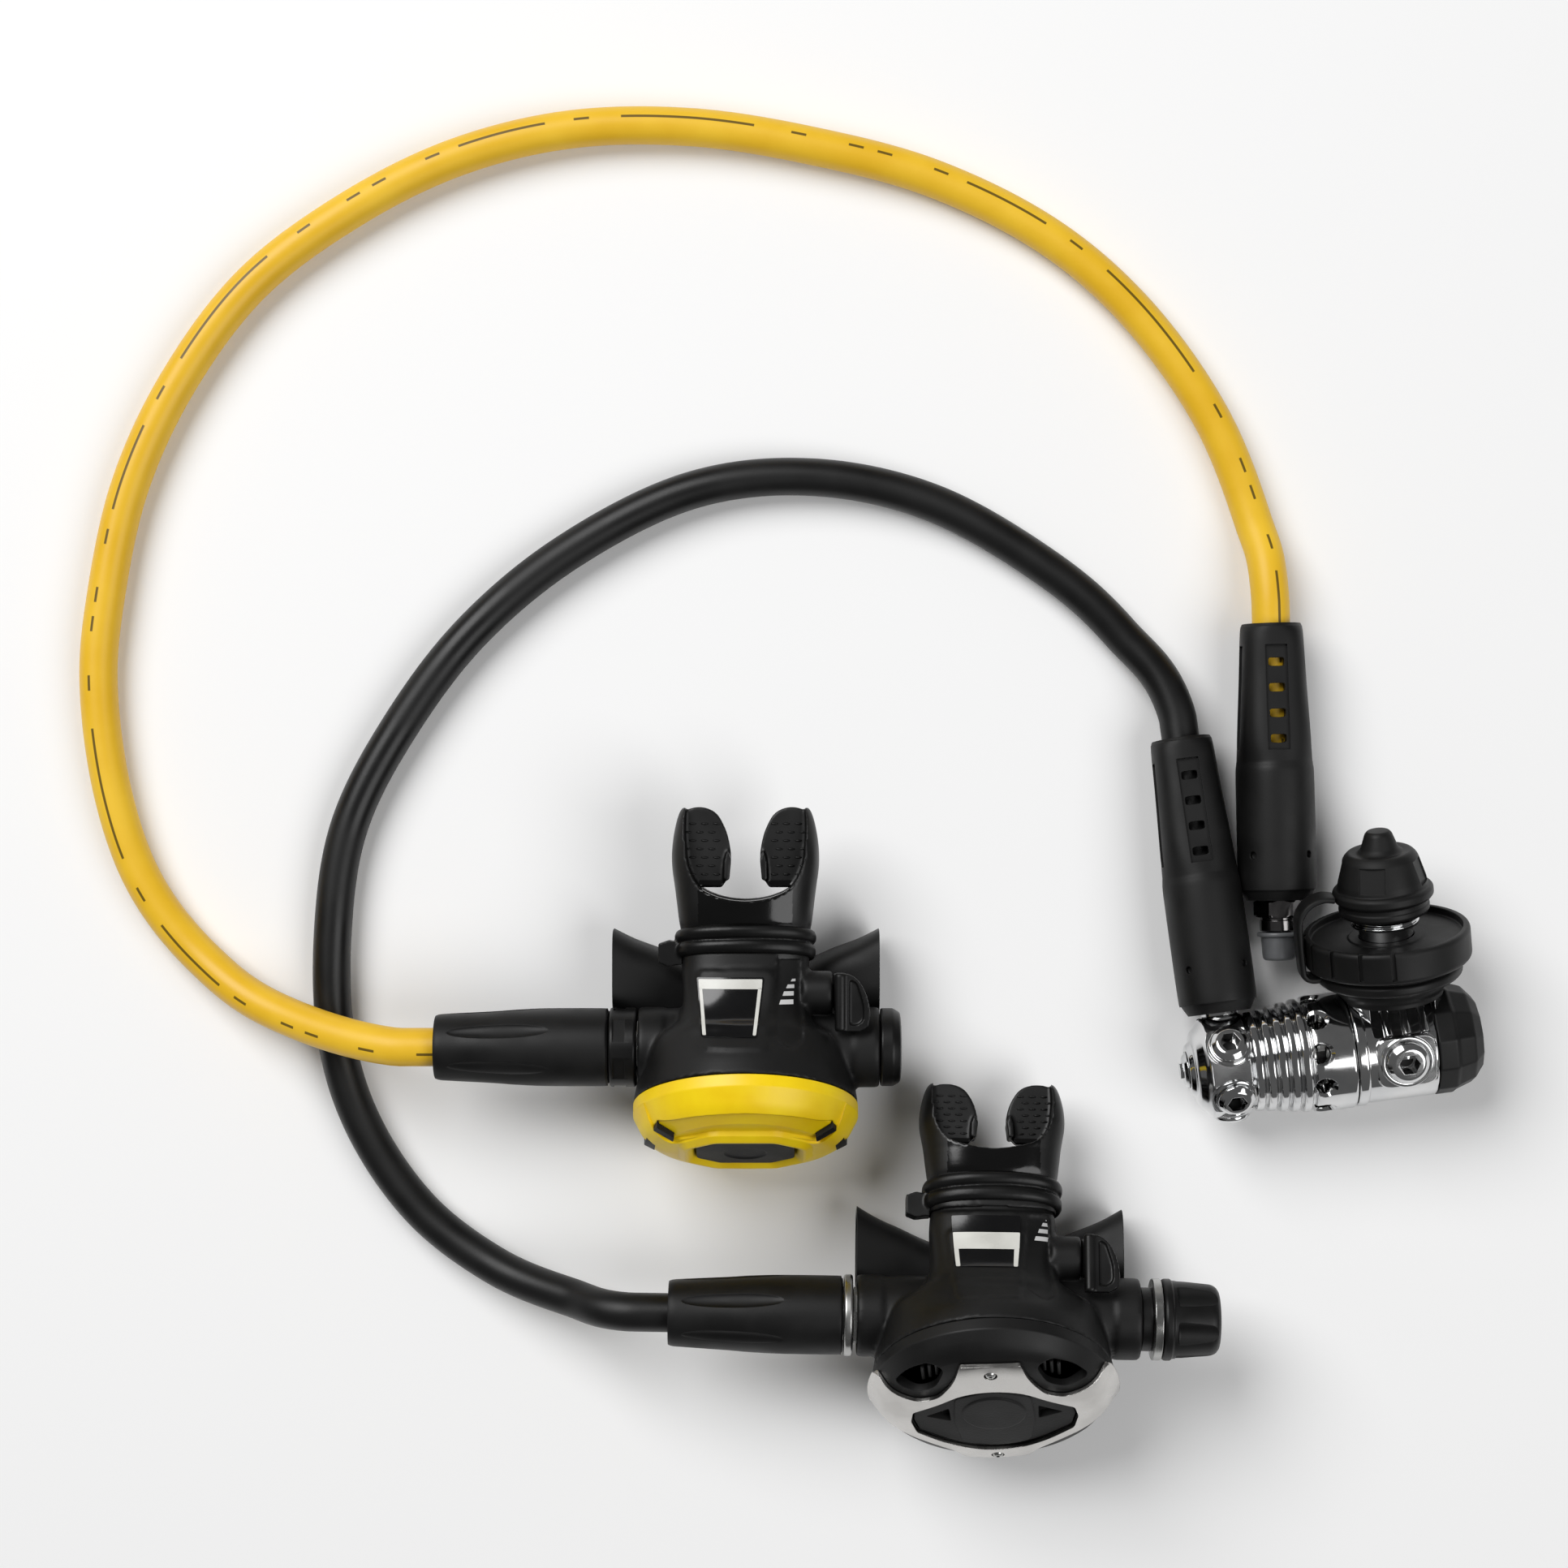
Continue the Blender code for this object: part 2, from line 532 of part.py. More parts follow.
def make_chamber(parent, chrome):
    c = CHAMBER
    outline = [(c.first_fin - c.fin_depth, c.start)]
    for k in range(c.fins):
        crest = c.first_fin + (c.last_fin - c.first_fin) * k / (c.fins - 1)
        at = c.fin_start + k * c.fin_pitch
        outline += [(crest, at + 0.6 * MM), (crest, at + 1.9 * MM),
                    (crest - c.fin_depth, at + 3.0 * MM)]
    shaft = PISTON.shaft_radius + 0.5 * MM
    outline += [(c.radius, c.fin_start + c.fins * c.fin_pitch + 0.6 * MM),
                (c.radius, c.end - 5.5 * MM), (c.radius - 0.9 * MM, c.end - 0.8 * MM),
                (c.radius - 1.4 * MM, c.end), (shaft, c.end), (shaft, c.end - c.wall),
                (c.bore, c.end - c.wall), (c.bore, c.start)]
    item = solid("ambient_cap", turned(outline), TO_X)
    for k in range(c.holes):
        turn = Matrix.Rotation(math.radians(-c.hole_turn - 360 / c.holes * k), 4, "X")
        hole = shift(c.hole_at) @ turn
        cut(item, rod(c.hole_radius, c.bore - 2 * MM, c.radius + MM, 6), hole)
    return place(item, parent, chrome)


def make_piston(parent, steel):
    p = PISTON
    start = CHAMBER.start + 0.4 * MM
    radius = CHAMBER.bore - GAP
    outline = [(2.0 * MM, start), (radius, start), (radius, start + p.head),
               (p.shaft_radius, start + p.head), (p.shaft_radius, p.end - 1.5 * MM),
               (3.0 * MM, p.end), (2.0 * MM, p.end)]
    piston = turned(outline, sides_for(CHAMBER.radius))
    return place(solid("piston", piston, TO_X), parent, steel)


def make_spring(parent, steel):
    s = SPRING
    low = CHAMBER.start + 0.4 * MM + PISTON.head + PISTON.stroke + GAP + s.wire
    high = CHAMBER.end - CHAMBER.wall - GAP - s.wire
    steps = 8
    count = s.turns * steps
    points = []
    for k in range(count + 1):
        angle = 2 * math.pi * k / steps
        along = low + (high - low) * k / count
        points.append(Vector((along, s.radius * math.cos(angle), s.radius * math.sin(angle))))
    item = tube("main_spring", points, s.wire, steel, 0)
    item.parent = parent
    return item


def make_body(parent, chrome):
    b = BODY
    outline = [(0.0, b.start), (b.seam_radius, b.start), (b.seam_radius, b.start + b.seam),
               (b.radius, b.start + b.seam + 0.5 * MM), (b.radius, b.end), (0.0, b.end)]
    item = solid("main_body", turned(outline), TO_X)
    add(item, rod(b.boss_radius, 8 * MM, b.boss_height))
    cut(item, bore(PISTON.shaft_radius + 0.5 * MM, b.start - MM, 0.0), TO_X)
    cut(item, bore(INLET.neck_radius + GAP, INLET.foot - GAP, b.radius + 2 * MM), TO_Y)
    cut(item, bore(TURRET.port_radius, 5 * MM, b.boss_height + MM))
    panel = Matrix.Rotation(math.radians(-PANEL.angle), 4, "X")
    for k in range(PANEL.pockets):
        low = PANEL.start + k * (PANEL.width + PANEL.ribs)
        pocket = block((low, -PANEL.height / 2, b.radius - PANEL.depth),
                       (low + PANEL.width, PANEL.height / 2, b.radius + 2 * MM))
        cut(item, pocket, panel)
    place(item, parent, chrome)
    seat = shift(z=b.boss_height)
    port_plug("gauge_port_plug", GAUGE_PLUG, TURRET.port_radius - GAP, 8 * MM, parent, seat, chrome)


def make_end_cover(parent, rubber):
    e = END_COVER
    outline = [(0.0, e.start), (e.radius, e.start), (e.radius - 0.3 * MM, e.start + 6 * MM),
               (e.radius - 2.8 * MM, e.end - 3.6 * MM), (e.radius - 7.2 * MM, e.end),
               (0.0, e.end)]
    item = solid("end_cover", turned(outline, e.sides, math.radians(15)), TO_X)
    return place(item, parent, rubber, smooth=20.0)


def make_inlet(parent, chrome, rubber, bronze):
    i = INLET
    outline = [(i.bore, i.foot), (i.neck_radius, i.foot), (i.neck_radius, i.shoulder),
               (i.thread_radius, i.shoulder + MM), (i.thread_radius, i.end - MM),
               (i.thread_radius - 0.9 * MM, i.end), (i.bore, i.end)]
    place(solid("din_connector", turned(outline, THREAD_SIDES), TO_Y), parent, chrome)
    place(solid("inlet_filter", rod(i.bore - GAP, i.end - 9 * MM, i.end - 5 * MM), TO_Y),
          parent, bronze)
    hole = i.neck_radius + GAP
    n = NECK_COVER
    outline = [(hole, 10 * MM), (n.radius, 10 * MM), (n.radius, n.top - 4 * MM),
               (n.radius + 1.4 * MM, n.top - 0.6 * MM), (n.radius + 1.4 * MM, n.top),
               (hole, n.top)]
    item = solid("din_neck_cover", turned(outline), TO_Y)
    cut(item, bore(BODY.seam_radius + GAP, -30 * MM, 30 * MM), TO_X)
    cut(item, bore(BODY.boss_radius + GAP, 0.0, 30 * MM))
    place(item, parent, rubber)


def make_tether(parent, rubber):
    t = TETHER
    hole = INLET.neck_radius + GAP
    outline = [(hole, t.low), (t.radius - 0.8 * MM, t.low), (t.radius, t.low + 0.9 * MM),
               (t.radius, t.high - 0.9 * MM), (t.radius - 0.8 * MM, t.high), (hole, t.high)]
    item = solid("cap_tether", turned(outline), TO_Y)
    side = -(WHEEL.radius + 2 * GAP + t.strap / 2)
    start = -(CAP.flange + GAP)
    middle = (CAP.flange_low + CAP.flange_high) / 2
    low = (t.low + t.high) / 2
    path = [(start, middle), (start - 3.6 * MM, middle + 0.6 * MM),
            (side + 4.0 * MM, middle - 0.8 * MM), (side + 1.0 * MM, middle - 4.4 * MM),
            (side, middle - 9.5 * MM), (side, low + 5.0 * MM), (side + 0.5 * MM, low + 1.6 * MM),
            (side + 3.0 * MM, low), (-t.radius + 3.0 * MM, low)]
    path = [Vector(point) for point in path]
    upper, lower = [], []
    for k, point in enumerate(path):
        along = (path[min(k + 1, len(path) - 1)] - path[max(k - 1, 0)]).normalized()
        if k == 0:
            along = Vector((-1.0, 0.0))
        normal = Vector((-along.y, along.x)) * (t.strap / 2)
        upper.append(point + normal)
        lower.append(point - normal)
    outline = [tuple(point) for point in upper + lower[::-1]]
    add(item, prism(outline, -t.width / 2, t.width / 2))
    return place(item, parent, rubber)


def make_wheel(parent, rubber):
    w = WHEEL
    hole = INLET.neck_radius + GAP
    outline = [(hole, w.low), (w.radius, w.low), (w.radius, w.high - 0.8 * MM),
               (w.radius - 0.8 * MM, w.high), (w.radius - w.rim, w.high),
               (w.radius - w.rim - 0.8 * MM, w.high - 4.5 * MM),
               (hole + 3.6 * MM, w.high - 4.5 * MM), (hole + 3.2 * MM, w.high - 1.5 * MM),
               (hole, w.high - 1.5 * MM)]
    item = solid("handwheel", turned(outline, 24))
    for k in range(w.grooves):
        turn = Matrix.Rotation(math.radians(60 + w.groove_step * k), 4, "Z")
        groove = block((w.radius - w.groove_depth, -w.groove_width / 2, w.low + 2.0 * MM),
                       (w.radius + 2 * MM, w.groove_width / 2, w.high + MM))
        cut(item, groove, turn)
    item.data.transform(TO_Y)
    return place(item, parent, rubber)


def make_din_cap(parent, rubber):
    c = CAP
    outline = [(c.bore, c.low), (c.skirt, c.low), (c.skirt, c.flange_low),
               (c.flange, c.flange_low + 0.4 * MM), (c.flange, c.flange_high - 0.4 * MM),
               (c.flange - 1.2 * MM, c.flange_high), (c.skirt - 0.2 * MM, c.flange_high),
               (12.2 * MM, 67.0 * MM), (10.4 * MM, 68.2 * MM), (6.4 * MM, 68.4 * MM),
               (4.2 * MM, c.high - 0.5 * MM), (3.2 * MM, c.high), (0.0, c.high),
               (0.0, INLET.end + 0.8 * MM), (c.bore, INLET.end + 0.8 * MM)]
    return place(solid("din_cap", turned(outline, THREAD_SIDES), TO_Y), parent, rubber)


def make_first_stage(mats):
    flat = (Matrix.Translation(FIRST_STAGE_AT)
            @ Matrix.Rotation(FIRST_STAGE_TURN, 4, "Z"))
    turret_frame = frame("turret_frame", flat)
    body_frame = frame("first_stage_frame", Matrix.Rotation(INLET_TILT, 4, "X"), turret_frame)
    make_turret(turret_frame, mats.chrome)
    make_chamber(body_frame, mats.chrome)
    make_piston(body_frame, mats.steel)
    make_spring(body_frame, mats.steel)
    make_body(body_frame, mats.chrome)
    make_end_cover(body_frame, mats.rubber)
    make_inlet(body_frame, mats.chrome, mats.rubber, mats.bronze)
    make_tether(body_frame, mats.rubber)
    make_wheel(body_frame, mats.plastic)
    make_din_cap(body_frame, mats.rubber)
    return turret_frame


# --- second stages --------------------------------------------------------------------------
def cover_matrix(s):
    """From the cover's own frame (z out of its face, y up it) to the stage's frame."""
    lean = Matrix.Rotation(math.radians(90) - COVER_TILT, 4, "X")
    return shift(y=s.centre_y, z=s.centre_z) @ lean


def barrel_matrix():
    """Like the cover's frame, with its origin on the barrel axis."""
    return Matrix.Rotation(math.radians(90) - COVER_TILT, 4, "X")


def cover_reach(s):
    """How far the cover's rim plane lies from the barrel axis."""
    return -s.centre_y * math.cos(COVER_TILT) + s.centre_z * math.sin(COVER_TILT)


def case_rings(s, grow):
    """Sections of the case from the cover rim to the mouth tube, grown by an amount."""
    out = cover_matrix(s).to_3x3() @ Vector((0, 0, 1))
    centre = Vector((0.0, s.centre_y, s.centre_z))
    across = Vector((1, 0, 0))
    sections = [(centre - out * 3 * MM, 22.0, s.radius, s.radius, 2.0),
                (centre - out * 10 * MM, 22.0, s.radius - 1.2 * MM, s.radius - 1.2 * MM, 2.0),
                (Vector((0, -2.0, 1.2)) * MM, 17.0, s.radius - 5 * MM, 27 * MM, 2.2),
                (Vector((0, 8.0, 1.8)) * MM, 10.0, 28 * MM, 20.5 * MM, 2.5),
                (Vector((0, 18.0, 3.4)) * MM, 4.0, 23.2 * MM, 14 * MM, 2.6),
                (Vector((0, 27.0, 4.0)) * MM, 0.0, 22.2 * MM, 12 * MM, 2.4)]
    rings = []
    for middle, lean, wide, high, power in sections:
        up = Vector((0, math.sin(math.radians(lean)), math.cos(math.radians(lean))))
        rings.append(oval(middle, across, up, wide + grow, high + grow, power))
    return rings


def dive_face(s):
    """Where the dive lever's boss ends: clear of the flank at the back of the paddle."""
    behind, ahead = case_rings(s, 0.0)[2:4]
    low, high = behind[0], ahead[0]
    share = (DIVE.back - low.y) / (high.y - low.y)
    return max(DIVE.face, low.lerp(high, share).x)


def mouth_ring(y, grow):
    middle = Vector((0.0, y, MOUTH.height))
    return oval(middle, (1, 0, 0), (0, 0, 1), MOUTH.half_width + grow,
                MOUTH.half_height + grow, 2.3)


def make_case(s, parent, material):
    to_cover = cover_matrix(s)
    out = to_cover.to_3x3() @ Vector((0, 0, 1))
    centre = Vector((0.0, s.centre_y, s.centre_z))
    item = solid(f"{s.name}_case", loft(case_rings(s, 0.0)))
    for low, high in (s.left_collar, s.right_collar):
        add(item, rod(s.collar_radius, low, high), TO_X)
    dive_axis = Matrix.Translation(DIVE_AXIS) @ TO_X
    add(item, rod(DIVE.boss, 14 * MM, dive_face(s)), dive_axis)
    add(item, rod(EXHAUST.boss, EXHAUST.low, EXHAUST.high), exhaust_matrix())
    add(item, loft([mouth_ring(20 * MM, 0.0), mouth_ring(MOUTH.end, 0.0)]))
    hollow = case_rings(s, -CASE_WALL)
    up = to_cover.to_3x3() @ Vector((0, 1, 0))
    wide = s.radius - CASE_WALL
    shelf = centre - out * 5.9 * MM
    front = [oval(centre + out * MM, (1, 0, 0), up, wide, wide),
             oval(shelf, (1, 0, 0), up, wide, wide),
             oval(shelf, (1, 0, 0), up, wide - LEDGE, wide - LEDGE),
             oval(centre - out * 10 * MM, (1, 0, 0), up, wide - LEDGE, wide - LEDGE)]
    cut(item, loft(front + hollow[2:-1]
                   + [mouth_ring(24 * MM, -MOUTH.wall), mouth_ring(45 * MM, -MOUTH.wall)]))
    cut(item, bore(BARREL.radius + GAP, s.left_collar[0] - MM, s.right_collar[1] + MM,
                   BARREL_SIDES), TO_X)
    cut(item, rod(EXHAUST.bore, EXHAUST.low - 8 * MM, EXHAUST.high + MM),
        exhaust_matrix())
    cut(item, bore(DIVE.pin + GAP, dive_face(s) - 5 * MM, dive_face(s) + MM), dive_axis)
    return place(item, parent, material)


def case_bore(s):
    """Radius of a round piece that clears the flats inside the case's rim."""
    return inside(s.radius - CASE_WALL, RING_SIDES)


def cover_face(s, lift):
    """The outer face of a cover from its middle to its rim, lifted off by an amount."""
    r, f = s.radius, s.face
    return [(0.0, f + 0.5 * MM + lift), (r - 11 * MM + lift * 0.2, f + lift),
            (r - 4 * MM + lift * 0.6, f * 0.75 + lift * 0.85), (r + lift, 1.2 * MM)]


def turned_cover(s):
    r, f = s.radius, s.face
    spigot = case_bore(s)
    outline = cover_face(s, 0.0) + [
               (r, -3 * MM + GAP),
               (spigot, -3 * MM + GAP), (spigot, -4.3 * MM), (spigot - 2 * MM, -4.3 * MM),
               (spigot - 2 * MM, f * 0.3), (r - 12 * MM, f - 2.4 * MM), (0.0, f - 2.0 * MM)]
    return turned(outline, RING_SIDES)


def make_primary_cover(s, parent, mats):
    on_case = cover_matrix(s) @ Matrix.Rotation(COVER_TURN, 4, "Z")
    cover = solid("primary_cover", turned_cover(s))
    lens = mirrored(LENS)
    cut(cover, prism(lens, 0.0, 20 * MM))
    for side in (-1, 1):
        corner = [(15.5, 24.5), (20.5, 15.2), (29.0, 15.6), (27.0, 23.5), (20.0, 28.2)]
        pocket = [(side * x * MM, y * MM) for x, y in corner]
        cut(cover, prism(pocket, s.face - 2.6 * MM, 20 * MM))
    for at in (SCREW_TOP, SCREW_BOTTOM):
        cut(cover, rod(1.3 * MM, 0.0, 20 * MM, 8), shift(*at))
    trim = solid("primary_trim", prism(mirrored(TRIM_TOP + TRIM_BOTTOM), -MM, 16 * MM))
    cut(trim, prism(grown(lens, 0.2 * MM), -2 * MM, 17 * MM))
    upper, lower = ([*cover_face(s, lift), (s.radius + lift, 0.0)]
                    for lift in (TRIM_LIFT, GAP))
    shell = upper + lower[::-1]
    keep(trim, turned(shell, RING_SIDES))
    for at in (SCREW_TOP, SCREW_BOTTOM):
        cut(trim, rod(2.2 * MM, 0.0, 20 * MM, 8), shift(*at))
    for name, at in (("trim_screw_top", SCREW_TOP), ("trim_screw_bottom", SCREW_BOTTOM)):
        seat = face_height(s, at) + GAP
        outline = [(0.0, seat - 5 * MM), (1.0 * MM, seat - 5 * MM), (1.0 * MM, seat),
                   (1.9 * MM, seat), (1.9 * MM, seat + 1.0 * MM), (1.2 * MM, seat + 1.6 * MM),
                   (0.0, seat + 1.6 * MM)]
        screw = solid(name, turned(outline, 8), on_case @ shift(*at))
        place(screw, parent, mats.steel)
    button = make_button(s, lens, 1.4 * MM)
    for item, material in ((cover, mats.plastic), (trim, mats.trim), (button, mats.plastic)):
        item.data.transform(on_case)
        place(item, parent, material)


def face_height(s, at):
    """Height of the cover's outer face at a point of its own frame."""
    radius = math.hypot(at[0], at[1])
    inner = s.radius - 11 * MM
    if radius <= inner:
        return s.face + 0.5 * MM * (1 - radius / inner)
    return s.face - s.face * 0.25 * (radius - inner) / (7 * MM)


def make_button(s, outline, proud):
    """A purge button: its face, the flange that holds it in and the stem on the plate."""
    flange = s.face - BUTTON.flange_depth
    item = solid(f"{s.name}_purge_button",
                 prism(grown(outline, -BUTTON.clearance), flange - MM, s.face + proud))
    add(item, prism(grown(outline, BUTTON.flange), flange - BUTTON.flange_thick, flange))
    add(item, rod(BUTTON.stem, PLATE_TOP + GAP, flange - 0.5 * MM))
    return item


def make_octopus_cover(s, parent, mats):
    to_cover = cover_matrix(s)
    cover = solid("octopus_cover", turned_cover(s))
    octagon = mirrored(OCTAGON)
    frame_low = s.face - 2.0 * MM
    add(cover, prism(grown(octagon, 5.0 * MM), frame_low, s.face + 2.4 * MM))
    cut(cover, prism(octagon, 0.0, 20 * MM))
    for angle in (28, 152, -8, 188, -40, 220):
        turn = Matrix.Rotation(math.radians(angle), 4, "Z")
        slot = block((27.0 * MM, -4.5 * MM, 0.0), (30.0 * MM, 4.5 * MM, 20 * MM))
        cut(cover, slot, turn)
    cover.data.transform(to_cover)
    place(cover, parent, mats.yellow)
    button = make_button(s, octagon, 1.2 * MM)
    button.data.transform(to_cover)
    place(button, parent, mats.plastic)


def make_diaphragm(s, parent, mats):
    to_cover = cover_matrix(s)
    outer = case_bore(s)
    hole = PLATE_RADIUS + GAP
    outline = [(hole, -5.4 * MM), (outer, -5.6 * MM), (outer, -4.6 * MM), (hole, -4.4 * MM)]
    place(solid(f"{s.name}_diaphragm", turned(outline, RING_SIDES), to_cover), parent,
          mats.rubber)
    low = PLATE_TOP - PLATE_THICK
    rim = [(0.0, low), (PLATE_RADIUS, low), (PLATE_RADIUS, PLATE_TOP), (0.0, PLATE_TOP)]
    plate = turned(rim, RING_SIDES)
    place(solid(f"{s.name}_diaphragm_plate", plate, to_cover), parent, mats.steel)


def make_barrel(s, parent, mats):
    b = BARREL
    left = s.inlet - b.nipple
    seat = s.inlet + b.seat
    outline = [(b.orifice, left), (b.nipple_radius, left), (b.nipple_radius, s.inlet),
               (b.radius, s.inlet), (b.radius, s.barrel_end), (b.bore, s.barrel_end),
               (b.bore, seat), (b.orifice, seat)]
    item = solid(f"{s.name}_barrel", turned(outline, BARREL_SIDES), TO_X)
    window = block((-7 * MM, -4.2 * MM, 0.0), (14 * MM, 4.2 * MM, b.radius + MM))
    cut(item, window, barrel_matrix())
    place(item, parent, mats.steel)
    start = seat + GAP
    poppet = [(0.0, start), (3.8 * MM, start), (b.bore - GAP, start + 2 * MM),
              (b.bore - GAP, start + 6 * MM), (3.4 * MM, start + 8 * MM), (3.4 * MM, 9 * MM),
              (0.0, 9 * MM)]
    place(solid(f"{s.name}_poppet", turned(poppet, BARREL_SIDES), TO_X), parent,
          mats.steel)
    make_demand_lever(s, parent, mats.steel)


def make_demand_lever(s, parent, steel):
    """A bent strip from the poppet up through the barrel window to the diaphragm plate."""
    top = cover_reach(s) + PLATE_TOP - PLATE_THICK - GAP
    tip = Vector((LEVER_TIP.x, top - LEVER_THICK))
    pivot = Vector((LEVER_PIVOT.x, LEVER_PIVOT.z))
    along = (tip - pivot).normalized()
    side = Vector((along.y, -along.x)) * LEVER_THICK
    outline = [pivot + Vector((1.4, -0.1)) * MM, pivot + Vector((1.4, 0.9)) * MM,
               pivot + side + Vector((-0.6, 0.9)) * MM, tip + side * 0.8,
               tip + Vector((-1.0 * MM, LEVER_THICK)), tip + Vector((-4.2 * MM, LEVER_THICK)),
               tip + Vector((-4.2 * MM, 0.0)), tip + Vector((-1.2 * MM, 0.0)),
               pivot + Vector((-1.0, -0.1)) * MM]
    strip = prism([tuple(point) for point in outline], -LEVER_WIDTH / 2, LEVER_WIDTH / 2)
    strip.transform(Matrix.Rotation(math.radians(90), 4, "X"))
    item = solid(f"{s.name}_demand_lever", strip, barrel_matrix())
    pivot_point = barrel_matrix() @ LEVER_PIVOT
    return place(item, parent, steel, pivot_point)


def make_dive_lever(s, parent, material):
    d = DIVE
    axis = Matrix.Translation(DIVE_AXIS) @ TO_X
    face = dive_face(s) + GAP
    reach = face - GAP + d.reach
    item = solid(f"{s.name}_dive_lever", rod(d.pin, face - 4 * MM, face + MM), axis)
    add(item, rod(d.hub, face, face + d.hub_length), axis)
    root = face + 0.4 * MM
    middle = (d.back + d.front) / 2
    half = d.front - middle
    paddle = [(root, d.back), (reach - half * 0.6, d.back),
              (reach - half * 0.2, middle - half * 0.6), (reach, middle),
              (reach - half * 0.2, middle + half * 0.6), (reach - half * 0.6, d.front),
              (root, d.front)]
    add(item, prism(paddle, d.low, d.low + d.thick))
    return place(item, parent, material, DIVE_AXIS)


def exhaust_matrix():
    """From the exhaust port's own axis (+Z out of the case) to the stage's frame."""
    return (shift(y=EXHAUST.y, z=EXHAUST.z)
            @ Matrix.Rotation(math.radians(180) + EXHAUST.lean, 4, "X"))


def tee_rings(shrink, overhang):
    """Sections of the exhaust tee from one open end to the other."""
    half = TEE.half_width
    sections = [(half, 24.5, -18.2, 12.6, 12.2, 0.0), (30 * MM, 21.0, -19.4, 13.4, 11.0, 8.0),
                (16 * MM, 14.0, -21.0, 15.0, 9.6, 20.0), (0.0, 11.0, -21.6, 16.0, 9.2, 26.0)]
    sections = [(-x, *rest) for x, *rest in sections[:-1]] + sections[::-1]
    rings = []
    for x, y, z, wide, high, lean in sections:
        lean = math.radians(lean)
        along = Vector((0, math.cos(lean), math.sin(lean)))
        up = Vector((0, -math.sin(lean), math.cos(lean)))
        if abs(x) >= half - 1e-9:
            x += math.copysign(overhang, x)
        rings.append(oval((x, y * MM, z * MM), along, up, wide * MM - shrink,
                          high * MM - shrink, 2.3, 10))
    return rings


def make_exhaust(s, parent, mats):
    item = solid(f"{s.name}_exhaust_tee", loft(tee_rings(0.0, 0.0)))
    cut(item, loft(tee_rings(TEE.wall, 2 * MM)))
    cut(item, loft(case_rings(s, GAP + 0.1 * MM)))
    cut(item, bore(EXHAUST.boss + GAP, EXHAUST.low, EXHAUST.high + 2.4 * MM, 16),
        exhaust_matrix())
    place(item, parent, mats.rubber)
    low = EXHAUST.high + GAP
    valve = [(0.0, low), (EXHAUST.boss - 0.6 * MM, low), (EXHAUST.boss - 0.6 * MM, low + MM),
             (3 * MM, low + 1.4 * MM), (0.0, low + 1.4 * MM)]
    place(solid(f"{s.name}_exhaust_valve", turned(valve), exhaust_matrix()), parent,
          mats.soft)


def make_mouthpiece(s, parent, mats):
    """Oval sleeve, curved lip wall and two bite plates, moulded in one."""
    m = MOUTH
    inner = 0.4 * MM
    outer = inner + m.rubber
    sleeve = [mouth_ring(m.start + 1.2 * MM, outer), mouth_ring(44 * MM, outer),
              mouth_ring(52 * MM, outer + 1.0 * MM), mouth_ring(56 * MM, outer + 2.2 * MM)]
    item = solid(f"{s.name}_mouthpiece", loft(sleeve))
    wall = [(-25.6, 49.0), (-28.0, 64.0), (-26.0, 80.0), (-23.4, 80.0), (-24.4, 68.0),
            (-19.0, 58.6), (-9.0, 55.2), (0.0, 54.6)]
    curve = [(x * MM, y * MM) for x, y in wall]
    lips = curve + [(-x, y) for x, y in curve[-2::-1]]
    add(item, prism(lips, m.height - 13 * MM, m.height + 13 * MM))
    bite = [(8.6, 57.0), (17.0, 58.0), (24.6, 64.0), (25.2, 76.0), (20.5, 80.6),
            (14.0, 78.0), (9.4, 69.0)]
    for side in (-1, 1):
        plate = [(side * x * MM, y * MM) for x, y in bite]
        add(item, prism(plate, m.height - 2.0 * MM, m.height + 2.0 * MM))
    throat = [mouth_ring(20 * MM, inner), mouth_ring(m.end + MM, inner),
              mouth_ring(m.end + 2 * MM, -2.4 * MM), mouth_ring(57.5 * MM, -2.4 * MM)]
    cut(item, loft(throat))
    place(item, parent, mats.soft)
    band = solid(f"{s.name}_mouthpiece_tie",
                 loft([mouth_ring(31 * MM, outer + 1.8 * MM),
                       mouth_ring(36.5 * MM, outer + 1.8 * MM)]))
    head = block((-m.half_width - outer - 6.2 * MM, 30.6 * MM, m.height - 4 * MM),
                 (-m.half_width - outer - 0.6 * MM, 36.9 * MM, m.height + 3 * MM))
    add(band, head)
    cut(band, loft([mouth_ring(29 * MM, outer + GAP), mouth_ring(39 * MM, outer + GAP)]))
    place(band, parent, mats.plastic)


def make_knob(s, parent, mats):
    start = s.right_collar[1] + GAP
    neck = start + 3.4 * MM
    ring = (neck + GAP, neck + GAP + 3.0 * MM)
    grip = ring[1] + GAP
    end = grip + 19.0 * MM
    shank = inside(BARREL.bore, BARREL_SIDES)
    flange = BARREL.radius + MM
    outline = [(0.0, s.barrel_end - 8 * MM), (shank, s.barrel_end - 8 * MM),
               (shank, start), (flange, start), (flange, neck),
               (9.0 * MM, neck), (9.0 * MM, grip), (13.5 * MM, grip),
               (13.2 * MM, grip + 6 * MM), (11.6 * MM, end - 2.4 * MM), (9.4 * MM, end),
               (0.0, end)]
    item = solid("primary_knob", turned(outline, BARREL_SIDES))
    for k in range(6):
        turn = Matrix.Rotation(math.radians(60 * k + 30), 4, "Z")
        scoop = rod(7.0 * MM, grip + 4 * MM, end + MM)
        cut(item, scoop, turn @ shift(18.6 * MM))
    item.data.transform(TO_X)
    place(item, parent, mats.plastic)
    band = [(9.0 * MM + GAP, ring[0]), (13.5 * MM, ring[0]), (13.5 * MM, ring[1]),
            (9.0 * MM + GAP, ring[1])]
    place(solid("primary_knob_ring", turned(band, BARREL_SIDES), TO_X), parent, mats.trim)


